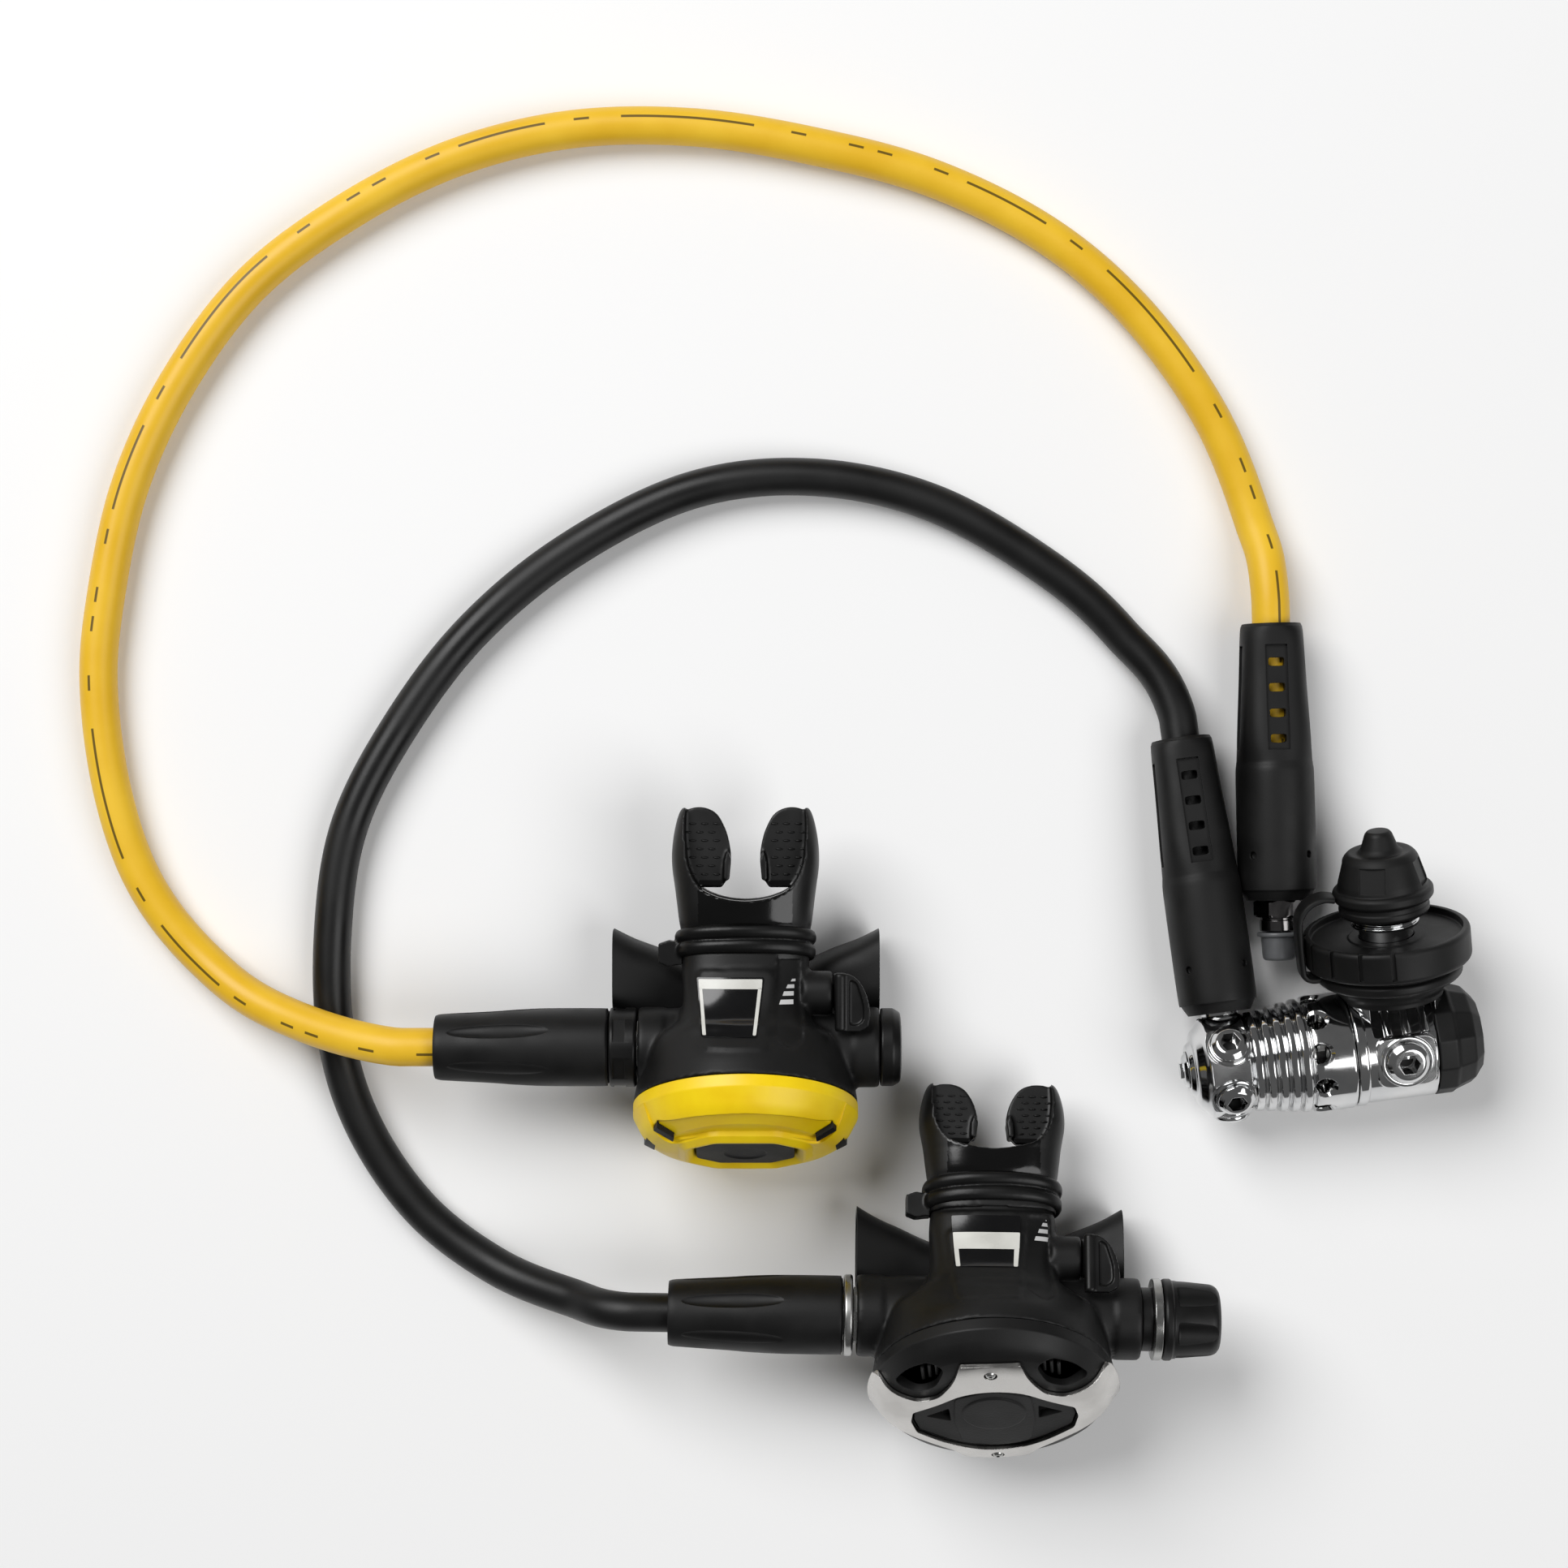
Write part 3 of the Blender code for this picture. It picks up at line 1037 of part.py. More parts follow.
def make_end_plug(s, parent, mats):
    start = s.right_collar[1] + GAP
    outline = [(0.0, s.barrel_end - 6 * MM), (BARREL.bore - GAP, s.barrel_end - 6 * MM),
               (BARREL.bore - GAP, start), (13.0 * MM, start), (13.0 * MM, start + 4.6 * MM),
               (11.4 * MM, start + 6.8 * MM), (8.5 * MM, start + 7.0 * MM),
               (8.0 * MM, start + 6.0 * MM), (0.0, start + 6.0 * MM)]
    item = solid("octopus_end_plug", turned(outline, BARREL_SIDES))
    cut(item, block((-5 * MM, -0.9 * MM, start + 4.8 * MM), (5 * MM, 0.9 * MM, start + 9 * MM)))
    item.data.transform(TO_X)
    place(item, parent, mats.plastic)


def make_swivel_nut(s, parent, material):
    high = s.inlet - GAP
    low = high - s.nut_length
    end = s.inlet - NUT_TAIL.length
    socket = clear_of(BARREL.nipple_radius, BARREL_SIDES)
    outline = [(2.5 * MM, end), (NUT_TAIL.radius, end), (NUT_TAIL.radius, low),
               (s.nut_radius, low),
               (s.nut_radius, high), (socket, high), (socket, s.inlet - BARREL.nipple - GAP),
               (2.5 * MM, s.inlet - BARREL.nipple - GAP)]
    place(solid(f"{s.name}_swivel_nut", turned(outline, BARREL_SIDES), TO_X), parent,
          material)
    return low - GAP, end - GAP


def make_second_stage(s, at, turn, pitch, mats, nut_material):
    flat = Matrix.Translation(at) @ Matrix.Rotation(turn, 4, "Z")
    fixed = frame(f"{s.name}_hose_frame", flat)
    stage = frame(f"{s.name}_frame", Matrix.Rotation(-pitch, 4, "X"), fixed)
    make_case(s, stage, mats.plastic)
    make_diaphragm(s, stage, mats)
    make_barrel(s, stage, mats)
    make_dive_lever(s, stage, mats.plastic)
    make_mouthpiece(s, stage, mats)
    make_exhaust(s, stage, mats)
    protector_at, hose_at = make_swivel_nut(s, fixed, nut_material)
    where = shift(protector_at) @ TO_MINUS_X
    socket = protector_at - hose_at + GAP
    short_protector(f"{s.name}_hose_protector", socket, fixed, where, mats.rubber)
    start = flat @ Vector((hose_at, 0, 0))
    end = flat @ Vector((protector_at - SHORT_PROTECTOR_LENGTH - HOSE_DIAMETER, 0, 0))
    return stage, start, end


# --- the whole set --------------------------------------------------------------------------
def make_hoses(turret_frame, primary_ends, octopus_ends, mats):
    port = turret_frame.matrix_local @ port_matrix(HOSE_PORT_ANGLE)
    hose_fitting("black_hose_fitting", turret_frame, port_matrix(HOSE_PORT_ANGLE), mats.chrome)
    long_protector("black_hose_protector", turret_frame,
                   port_matrix(HOSE_PORT_ANGLE) @ shift(z=port_stand_off()), mats.rubber)
    straight = port_stand_off() + LONG_PROTECTOR_LENGTH + HOSE_DIAMETER * 0.6
    start = (port @ Vector((0, 0, fitting_top() + GAP)), port @ Vector((0, 0, straight)))
    path = hose_path(start, BLACK_ROUTE, primary_ends[::-1])
    tube("black_hose", path, HOSE_DIAMETER / 2, mats.black_hose)

    loose = (Matrix.Translation(LOOSE_END_AT) @ Matrix.Rotation(LOOSE_END_TURN, 4, "Z")
             @ TO_Y)
    loose_frame = frame("loose_end_frame", loose)
    hose_fitting("yellow_hose_fitting", loose_frame, Matrix(), mats.dark_chrome)
    dust_cap(loose_frame, Matrix(), mats.clear)
    back = GAP + FITTING.neck_length + LOOSE_PROTECTOR_BACK
    long_protector("yellow_hose_protector", loose_frame, shift(z=back), mats.rubber)
    straight = back + LONG_PROTECTOR_LENGTH + HOSE_DIAMETER * 0.6
    end = (loose @ Vector((0, 0, straight)), loose @ Vector((0, 0, fitting_top() + GAP)))
    path = hose_path(octopus_ends, YELLOW_ROUTE, end)
    tube("yellow_hose", path, HOSE_DIAMETER / 2, mats.yellow_hose)


def hose_path(start, route, end):
    """A route through free points, with a straight stretch inside the sleeve at each end."""
    middle = [Vector(point) * MM for point in route]
    smooth = smooth_path([start[0], start[1], *middle, end[0], end[1]],
                         HOSE_STEP * HOSE_DIAMETER)
    return ([start[0], start[0].lerp(start[1], 0.5)] + smooth
            + [end[0].lerp(end[1], 0.5), end[1]])


def main():
    clear_scene()
    mats = Sizes(chrome=paint("chrome", (0.78, 0.78, 0.79), 0.12, 1.0),
                 dark_chrome=paint("dark_chrome", (0.30, 0.29, 0.30), 0.2, 1.0),
                 steel=paint("steel", (0.6, 0.6, 0.6), 0.3, 1.0),
                 bronze=paint("bronze", (0.55, 0.35, 0.16), 0.5, 1.0),
                 trim=paint("brushed_metal", (0.62, 0.62, 0.62), 0.35, 1.0),
                 plastic=paint("black_plastic", (0.018, 0.018, 0.018), 0.45),
                 rubber=paint("black_rubber", (0.015, 0.015, 0.015), 0.6),
                 soft=paint("silicone", (0.012, 0.012, 0.012), 0.4),
                 black_hose=paint("black_hose_cover", (0.02, 0.02, 0.02), 0.5),
                 yellow_hose=paint("yellow_hose_cover", (0.85, 0.62, 0.03), 0.45),
                 yellow=paint("yellow_plastic", (0.80, 0.62, 0.01), 0.4),
                 clear=paint("clear_plastic", (0.5, 0.5, 0.5), 0.3))
    turret_frame = make_first_stage(mats)
    stage, *primary_ends = make_second_stage(PRIMARY, PRIMARY_AT, PRIMARY_TURN,
                                             PRIMARY_PITCH, mats, mats.trim)
    make_primary_cover(PRIMARY, stage, mats)
    make_knob(PRIMARY, stage, mats)
    stage, *octopus_ends = make_second_stage(OCTOPUS, OCTOPUS_AT, OCTOPUS_TURN,
                                             OCTOPUS_PITCH, mats, mats.plastic)
    make_octopus_cover(OCTOPUS, stage, mats)
    make_end_plug(OCTOPUS, stage, mats)
    make_hoses(turret_frame, primary_ends, octopus_ends, mats)
    bpy.context.view_layer.update()


main()
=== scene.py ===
import math
import bpy
import bmesh
from mathutils import Matrix, Vector


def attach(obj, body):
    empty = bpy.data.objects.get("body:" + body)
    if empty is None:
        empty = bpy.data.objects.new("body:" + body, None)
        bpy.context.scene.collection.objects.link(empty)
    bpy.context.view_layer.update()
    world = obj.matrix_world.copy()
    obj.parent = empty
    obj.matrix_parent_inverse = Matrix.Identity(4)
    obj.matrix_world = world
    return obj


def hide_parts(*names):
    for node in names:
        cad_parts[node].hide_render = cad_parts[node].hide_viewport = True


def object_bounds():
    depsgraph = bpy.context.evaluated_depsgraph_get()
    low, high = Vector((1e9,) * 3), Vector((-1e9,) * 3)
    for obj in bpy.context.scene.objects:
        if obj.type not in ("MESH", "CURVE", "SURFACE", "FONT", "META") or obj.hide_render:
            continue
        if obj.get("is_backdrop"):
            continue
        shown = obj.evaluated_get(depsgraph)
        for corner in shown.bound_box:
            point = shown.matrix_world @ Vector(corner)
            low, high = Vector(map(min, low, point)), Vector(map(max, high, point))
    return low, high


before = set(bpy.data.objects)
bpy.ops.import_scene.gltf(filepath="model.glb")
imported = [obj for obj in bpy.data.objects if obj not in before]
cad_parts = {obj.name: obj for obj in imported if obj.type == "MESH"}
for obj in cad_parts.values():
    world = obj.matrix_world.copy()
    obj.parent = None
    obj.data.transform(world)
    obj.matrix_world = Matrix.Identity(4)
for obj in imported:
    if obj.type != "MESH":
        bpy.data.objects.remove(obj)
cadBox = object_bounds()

mm = 0.001


def spot(x, y, z):
    return Vector((x, y, z)) * mm


def spin(degrees, axis):
    return Matrix.Rotation(math.radians(degrees), 4, axis)


def move(x=0.0, y=0.0, z=0.0):
    return Matrix.Translation(spot(x, y, z))


toX, toMinusX, toY = spin(90, "Y"), spin(-90, "Y"), spin(-90, "X")

# where each unit lies on the table, as the solid model has them
stageFlat = move(125.5, 29.4, 20.1) @ spin(7.5, "Z")       # turret, its axis along X
stageFrame = stageFlat @ spin(15, "X")                      # body, its inlet along Y
primaryFlat = move(-12.2, -60.7, 37.3) @ spin(-0.8, "Z")
primaryFrame = primaryFlat @ spin(-17, "X")
octopusFlat = octopusFrame = move(-94.3, 29.0, 33.6)
looseFrame = move(87, 67, 13.6) @ spin(1.4, "Z") @ toY      # loose end, its hose along Z


# camera straight above, 1.1 m up, as the photograph was taken
shot = {"place": (-0.0815, 0.117, 1.1), "lens": 73.2, "sensor": 36.0}

cameraData = bpy.data.cameras.new("camera")
cameraData.lens = shot["lens"]
cameraData.sensor_width = shot["sensor"]
cameraData.clip_start = 0.02
cameraData.clip_end = 60
camera = bpy.data.objects.new("camera", cameraData)
camera.location = shot["place"]
bpy.context.scene.collection.objects.link(camera)
bpy.context.scene.camera = camera
print("camera placed")


def hexColour(code):
    parts = [int(code[i:i + 2], 16) / 255 for i in (1, 3, 5)]
    return [c / 12.92 if c <= 0.04045 else ((c + 0.055) / 1.055) ** 2.4 for c in parts] + [1.0]


def addNode(tree, kind, settings=None, links=None, out=0):
    node = tree.nodes.new(kind)
    for key, value in (settings or {}).items():
        if isinstance(key, int) or key in node.inputs.keys():
            node.inputs[key].default_value = value
        else:
            setattr(node, key, value)
    for key, source in (links or {}).items():
        tree.links.new(source, node.inputs[key])
    return node.outputs[out] if len(node.outputs) else node


def newMaterial(name, settings, tints, patchSize, patchShift=0.0):
    # tints vary the colour in soft patches, patchSize in millimetres across
    material = bpy.data.materials.new(name)
    material.use_nodes = True
    tree = material.node_tree
    shader = tree.nodes["Principled BSDF"]
    for key, value in settings.items():
        shader.inputs[key].default_value = value
    coords = addNode(tree, "ShaderNodeTexCoord", out=3)
    point = addNode(tree, "ShaderNodeVectorMath", {"operation": "SCALE", "Scale": 1000.0},
                    {0: coords})
    patch = addNode(tree, "ShaderNodeTexNoise",
                    {"Scale": 1 / patchSize, "Detail": 4.0, "Distortion": patchShift},
                    {"Vector": point})
    spread = addNode(tree, "ShaderNodeMapRange", {"From Min": 0.36, "From Max": 0.64},
                     {"Value": patch})
    tint = addNode(tree, "ShaderNodeMix", {"data_type": "RGBA", 6: hexColour(tints[0]),
                                           7: hexColour(tints[1])}, {"Factor": spread}, 2)
    tree.links.new(tint, shader.inputs["Base Color"])
    return material, tree, shader, point, spread, tint


def addGloss(tree, shader, spread, rough, vary):
    gloss = addNode(tree, "ShaderNodeMapRange", {"To Min": rough - vary, "To Max": rough + vary},
                    {"Value": spread})
    tree.links.new(gloss, shader.inputs["Roughness"])
    return gloss


def addRelief(tree, shader, height, depth, strength, edge=0.0):
    links = {"Height": height}
    if edge:   # arrises softened as a mould or a polishing wheel leaves them
        links["Normal"] = addNode(tree, "ShaderNodeBevel", {"samples": 4, "Radius": edge * mm})
    bump = addNode(tree, "ShaderNodeBump", {"Distance": depth * mm, "Strength": strength}, links)
    tree.links.new(bump, shader.inputs["Normal"])


def mouldedBlack(name, look):
    # patches are faint handling marks; the grain is what the mould's texture leaves
    material, tree, shader, point, spread, _ = newMaterial(
        name, {"IOR": look["ior"], "Roughness": look["rough"],
               "Specular IOR Level": look.get("shine", 0.3)}, look["tints"], 18.0)
    gloss = addGloss(tree, shader, spread, look["rough"], look["vary"])
    if look.get("polish"):   # part of the mould polished, marked by an attribute on the mesh
        mark = addNode(tree, "ShaderNodeAttribute", {"attribute_name": look["polish"]}, None, 2)
        mixed = addNode(tree, "ShaderNodeMix", {3: 0.13}, {"Factor": mark, 2: gloss})
        tree.links.new(mixed, shader.inputs["Roughness"])
    grain = addNode(tree, "ShaderNodeTexNoise", {"Scale": 1 / look["grain"], "Detail": 2.0},
                    {"Vector": point})
    addRelief(tree, shader, grain, look["depth"], 0.6, look["edge"])
    return material


# glass filled nylon, injection moulded with a spark eroded grain: dull, faint wide sheen
caseNylon = mouldedBlack("glass_filled_nylon_moulded", {
    "ior": 1.5, "rough": 0.5, "vary": 0.05, "grain": 0.4, "depth": 0.035,
    "tints": ("#0b0b0b", "#101010"), "edge": 0.35})
# nylon from a smoother mould, for small fittings: a little glossier
smoothNylon = mouldedBlack("nylon_smooth_mould", {
    "ior": 1.5, "rough": 0.38, "vary": 0.05, "grain": 0.45, "depth": 0.015,
    "tints": ("#090909", "#0e0e0e"), "edge": 0.3})
# nitrile rubber, compression moulded: matt with a soft wide highlight
sleeveRubber = mouldedBlack("nitrile_rubber_moulded", {
    "ior": 1.5, "rough": 0.5, "vary": 0.07, "grain": 0.5, "depth": 0.03,
    "tints": ("#0a0a0a", "#0f0f0f"), "edge": 0.4})
# coarse nitrile rubber of the purge buttons, grained so that a glove grips it
gripRubber = mouldedBlack("nitrile_rubber_grip", {
    "ior": 1.5, "rough": 0.6, "vary": 0.05, "grain": 0.7, "depth": 0.12,
    "tints": ("#0f0f0f", "#181818"), "edge": 0.35})
# black silicone: deep black with tight soft highlights, polished on one panel
mouthSilicone = mouldedBlack("silicone_rubber_satin", {
    "ior": 1.43, "rough": 0.42, "vary": 0.06, "grain": 0.45, "depth": 0.012,
    "tints": ("#070707", "#0b0b0b"), "edge": 0.4, "shine": 0.5, "polish": "polish"})


def plated(name, look):
    # hairlines are what the polishing wheel leaves; patches are faint haze
    material, tree, shader, point, spread, _ = newMaterial(
        name, {"Metallic": 1.0, "Roughness": look["rough"]}, look["tints"], 12.0)
    addGloss(tree, shader, spread, look["rough"], look["rough"] * 0.4)
    stretched = addNode(tree, "ShaderNodeMapping", {"Scale": look["lines"]}, {"Vector": point})
    lines = addNode(tree, "ShaderNodeTexNoise", {"Scale": 1.0, "Detail": 3.0},
                    {"Vector": stretched})
    addRelief(tree, shader, lines, look["depth"], 0.5, look["edge"])
    return material


# chrome plate over polished brass: a mirror with hairlines round the turned shape
brightChrome = plated("chrome_plated_brass", {
    "rough": 0.08, "tints": ("#c9cacb", "#d6d6d6"), "lines": (1.2, 0.1, 0.1), "depth": 0.0002,
    "edge": 0.25})
smokedChrome = plated("dark_chrome_plated_brass", {
    "rough": 0.16, "tints": ("#666464", "#7c7a7a"), "lines": (0.2, 6.0, 0.2), "depth": 0.001,
    "edge": 0.2})
turnedSteel = plated("stainless_steel_turned", {
    "rough": 0.25, "tints": ("#a6a6a4", "#b9b9b7"), "lines": (5.0, 0.4, 0.4), "depth": 0.005,
    "edge": 0.15})
# bronze powder pressed and sintered: brown, grainy, dull
sinteredBronze = plated("sintered_bronze_filter", {
    "rough": 0.5, "tints": ("#8f6438", "#b98a55"), "lines": (5.0, 5.0, 5.0), "depth": 0.08,
    "edge": 0.1})
# stainless sheet pressed and satin brushed from side to side: fine parallel lines
trimSteel = plated("stainless_steel_satin_brushed", {
    "rough": 0.22, "tints": ("#bab8b5", "#cfcdca"), "lines": (0.12, 5.0, 5.0), "depth": 0.004,
    "edge": 0.3})


def colouredPlastic(name, look):
    # even colour right through, faint orange peel from the mould
    material, tree, shader, point, spread, _ = newMaterial(
        name, {"IOR": 1.5, "Roughness": look["rough"],
               "Transmission Weight": look.get("clear", 0.0)}, look["tints"], 15.0)
    addGloss(tree, shader, spread, look["rough"], 0.04)
    peel = addNode(tree, "ShaderNodeTexNoise", {"Scale": 1 / look["grain"]}, {"Vector": point})
    addRelief(tree, shader, peel, 0.02, 0.5, look["edge"])
    return material


# ABS moulded in safety yellow
yellowAbs = colouredPlastic("abs_yellow_moulded", {
    "rough": 0.42, "tints": ("#f3cb00", "#fbd904"), "grain": 0.5, "edge": 0.5})
# pale ink, pad printed
printInk = colouredPlastic("pad_print_ink", {
    "rough": 0.5, "tints": ("#b9b9b9", "#cacaca"), "grain": 0.3, "edge": 0.05})
# label: screen printed film with a silver border, under a glossy dome
labelSilver = colouredPlastic("label_film_silver", {
    "rough": 0.3, "tints": ("#c8c7c1", "#dcdcd6"), "grain": 0.8, "edge": 0.1})
labelBlack = colouredPlastic("label_film_black", {
    "rough": 0.14, "tints": ("#0a0a0b", "#0f0f10"), "grain": 1.5, "edge": 0.1})
# low density polyethylene, moulded natural: milky, so the thread shows darkly through
capPlastic = colouredPlastic("polyethylene_natural", {
    "rough": 0.36, "tints": ("#85878a", "#a5a7aa"), "grain": 0.6, "edge": 0.3, "clear": 0.7})


def hoseCover(name, look):
    # rubber extruded over a braid, which shows through as a faint diamond relief
    material, tree, shader, point, spread, tint = newMaterial(
        name, {"IOR": 1.5, "Roughness": look["rough"], "Specular IOR Level": 0.35},
        look["tints"], 30.0)
    addGloss(tree, shader, spread, look["rough"], 0.07)
    wrap = addNode(tree, "ShaderNodeUVMap", {"uv_map": "hoseMap"})
    along = addNode(tree, "ShaderNodeSeparateXYZ", None, {0: wrap}, 0)   # millimetres
    around = along.node.outputs[1]                                       # millimetres
    threads = []
    for way in (1.0, -1.0):   # two families of threads, 2.4 mm apart
        slant = addNode(tree, "ShaderNodeMath", {"operation": "MULTIPLY_ADD", 1: way},
                        {0: around, 2: along})
        turn = addNode(tree, "ShaderNodeMath", {"operation": "MULTIPLY", 1: math.tau / 2.4},
                       {0: slant})
        threads.append(addNode(tree, "ShaderNodeMath", {"operation": "SINE"}, {0: turn}))
    braid = addNode(tree, "ShaderNodeMath", {"operation": "MAXIMUM"},
                    {0: threads[0], 1: threads[1]})
    fine = addNode(tree, "ShaderNodeTexNoise", {"Scale": 1.4, "Detail": 3.0}, {"Vector": point})
    relief = addNode(tree, "ShaderNodeMath", {"operation": "MULTIPLY_ADD", 1: 0.3},
                     {0: braid, 2: fine})
    addRelief(tree, shader, relief, 0.02, 0.4)
    if look.get("dashes"):   # plain dashes in one line; each is (start, length) in a run
        run = addNode(tree, "ShaderNodeMath", {"operation": "MODULO", 1: look["run"]},
                      {0: along})
        marks = [(run, start + length / 2, length / 2, 0.2) for start, length in look["dashes"]]
        marks.append((around, look["line"], look["stroke"] / 2, 0.15))
        shapes = []
        for source, centre, half, edge in marks:
            off = addNode(tree, "ShaderNodeMath", {"operation": "SUBTRACT", 1: centre},
                          {0: source})
            away = addNode(tree, "ShaderNodeMath", {"operation": "ABSOLUTE"}, {0: off})
            shapes.append(addNode(tree, "ShaderNodeMapRange",
                                  {"From Min": half, "From Max": half + edge,
                                   "To Min": 1.0, "To Max": 0.0}, {"Value": away}))
        inked = shapes[0]
        for dash in shapes[1:-1]:
            inked = addNode(tree, "ShaderNodeMath", {"operation": "MAXIMUM"}, {0: inked, 1: dash})
        inked = addNode(tree, "ShaderNodeMath", {"operation": "MULTIPLY"},
                        {0: inked, 1: shapes[-1]})
        printed = addNode(tree, "ShaderNodeMix", {"data_type": "RGBA", 7: hexColour(look["ink"])},
                          {"Factor": inked, 6: tint}, 2)
        tree.links.new(printed, shader.inputs["Base Color"])
    return material


blackCover = hoseCover("epdm_rubber_extruded_black", {
    "rough": 0.42, "tints": ("#0b0b0b", "#121212")})
yellowCover = hoseCover("epdm_rubber_extruded_yellow", {
    "rough": 0.42, "tints": ("#e6b526", "#efc12f"), "ink": "#6b5518",
    "run": 176.0, "line": 18.2, "stroke": 0.8,
    "dashes": [(4, 45), (62, 5), (82, 5), (92, 5), (112, 5), (124, 30), (164, 5)]})
print("materials made")


def asObject(name, bm, where=None):
    if where is not None:
        bm.transform(where)
    mesh = bpy.data.meshes.new(name)
    bm.to_mesh(mesh)
    bm.free()
    piece = bpy.data.objects.new(name, mesh)
    bpy.context.scene.collection.objects.link(piece)
    return piece


def baked(piece):   # applies what the modifiers do and leaves a plain mesh
    graph = bpy.context.evaluated_depsgraph_get()
    mesh = bpy.data.meshes.new_from_object(piece.evaluated_get(graph))
    piece.modifiers.clear()
    piece.data = mesh
    return piece


def softened(points, radius, closed=True, steps=3):
    # rounds an outline's corners; a third number on a point is its own radius
    result = []
    count = len(points)
    for k in range(count):
        here = Vector(points[k][:2])
        own = points[k][2] if len(points[k]) > 2 else radius
        before = Vector(points[k - 1][:2]) - here
        after = Vector(points[(k + 1) % count][:2]) - here
        reach = min(own, before.length * 0.48, after.length * 0.48)
        if reach < 1e-4 or (not closed and k in (0, count - 1)):
            result.append(here)
            continue
        start, end = here + before.normalized() * reach, here + after.normalized() * reach
        for i in range(steps + 1):
            t = i / steps
            result.append(start * (1 - t) ** 2 + here * 2 * t * (1 - t) + end * t * t)
    return result


def turned(outline, sides=72, radius=0.35, phase=0.0):
    # a solid turned about Z from a loop of (radius, height) points in millimetres
    bm = bmesh.new()
    rings = []
    for point in softened([p if p[0] > 0.001 else (p[0], p[1], 0) for p in outline], radius):
        if point.x < 0.001:
            rings.append([bm.verts.new(spot(0, 0, point.y))] * sides)
            continue
        angles = [phase + math.tau * k / sides for k in range(sides)]
        rings.append([bm.verts.new(spot(point.x * math.cos(a), point.x * math.sin(a), point.y))
                      for a in angles])
    for low, high in zip(rings, rings[1:] + rings[:1]):
        for k in range(sides):
            corners = list(dict.fromkeys((low[k], low[k - 1], high[k - 1], high[k])))
            if len(corners) > 2:
                bm.faces.new(corners)
    bmesh.ops.recalc_face_normals(bm, faces=bm.faces)
    return bm


def rod(radius, low, high, sides, edge=0.0):
    return turned([(0, low), (radius, low), (radius, high), (0, high)], sides, edge)


def inward(points, amount):
    # a closed outline moved inwards along its corners' bisectors
    count = len(points)
    area = sum(points[k - 1].x * points[k].y - points[k].x * points[k - 1].y
               for k in range(count))
    side = 1.0 if area > 0 else -1.0
    result = []
    for k in range(count):
        before = (points[k] - points[k - 1]).normalized()
        after = (points[(k + 1) % count] - points[k]).normalized()
        normal = Vector((-(before + after).y, (before + after).x)).normalized() * side
        reach = amount / max(0.5, abs(normal.dot(Vector((-after.y, after.x)))))
        result.append(points[k] + normal * reach)
    return result


def raised(outline, low, high, radius=0.0, edge=0.0):
    # a flat outline raised from low to high, its upper edge rounded
    points = softened(outline, radius, True, 4) if radius else [Vector(p[:2]) for p in outline]
    levels = [(0.0, low), (0.0, high - edge)]
    if edge:
        levels += [(edge * 0.3, high - edge * 0.3), (edge, high)]
    bm = bmesh.new()
    loops = [[bm.verts.new(spot(p.x, p.y, height)) for p in inward(points, inset)]
             for inset, height in levels]
    for a, b in zip(loops, loops[1:]):
        for k in range(len(a)):
            bm.faces.new((a[k - 1], a[k], b[k], b[k - 1]))
    bm.faces.new(loops[0])
    bm.faces.new(loops[-1])
    bmesh.ops.recalc_face_normals(bm, faces=bm.faces)
    return bm


def block(low, high):
    corners = [(low[0], low[1]), (high[0], low[1]), (high[0], high[1]), (low[0], high[1])]
    return raised(corners, low[2], high[2])


def oval(centre, along, up, wide, high, power=2.0, count=72):
    # a ring on a rounded rectangle; power 2 is an ellipse
    ring = []
    for k in range(count):
        c, s = math.cos(math.tau * k / count), math.sin(math.tau * k / count)
        x = math.copysign(abs(c) ** (2 / power), c) * wide
        y = math.copysign(abs(s) ** (2 / power), s) * high
        ring.append((Vector(centre) + Vector(along) * x + Vector(up) * y) * mm)
    return ring


def lofted(rings, ends=True):
    bm = bmesh.new()
    loops = [[bm.verts.new(p) for p in ring] for ring in rings]
    for low, high in zip(loops, loops[1:] + ([] if ends else loops[:1])):
        for k in range(len(low)):
            bm.faces.new((low[k - 1], low[k], high[k], high[k - 1]))
    if ends:
        bm.faces.new(loops[0])
        bm.faces.new(loops[-1])
    bmesh.ops.recalc_face_normals(bm, faces=bm.faces)
    return bm


def eased(rows, steps):
    # more rows of numbers between the given ones, on a smooth curve through them
    result = []
    for k in range(len(rows) - 1):
        a, b = rows[max(k - 1, 0)], rows[k]
        c, d = rows[k + 1], rows[min(k + 2, len(rows) - 1)]
        for i in range(steps):
            t = i / steps
            result.append([0.5 * (2 * q + (r - p) * t + (2 * p - 5 * q + 4 * r - s) * t * t
                                  + (3 * q - p - 3 * r + s) * t ** 3)
                           for p, q, r, s in zip(a, b, c, d)])
    result.append(list(rows[-1]))
    return result


def gathered(parts):
    # several solids as one mesh
    whole = bmesh.new()
    for part in parts:
        mesh = bpy.data.meshes.new("part")
        part.to_mesh(mesh)
        part.free()
        whole.from_mesh(mesh)
    return whole


def combine(piece, bm, where=None, operation="DIFFERENCE"):
    tool = asObject("tool", bm, where)
    step = piece.modifiers.new("combine", "BOOLEAN")
    step.operation = operation
    step.solver = "EXACT"
    step.object = tool
    baked(piece)
    bpy.data.objects.remove(tool)
    return piece


def join(piece, bm, where=None):
    return combine(piece, bm, where, "UNION")


def bevelled(piece, width, segments, angle):
    bevel = piece.modifiers.new("bevel", "BEVEL")
    bevel.width, bevel.segments, bevel.limit_method = width * mm, segments, "ANGLE"
    bevel.angle_limit = math.radians(angle)
    return baked(piece)


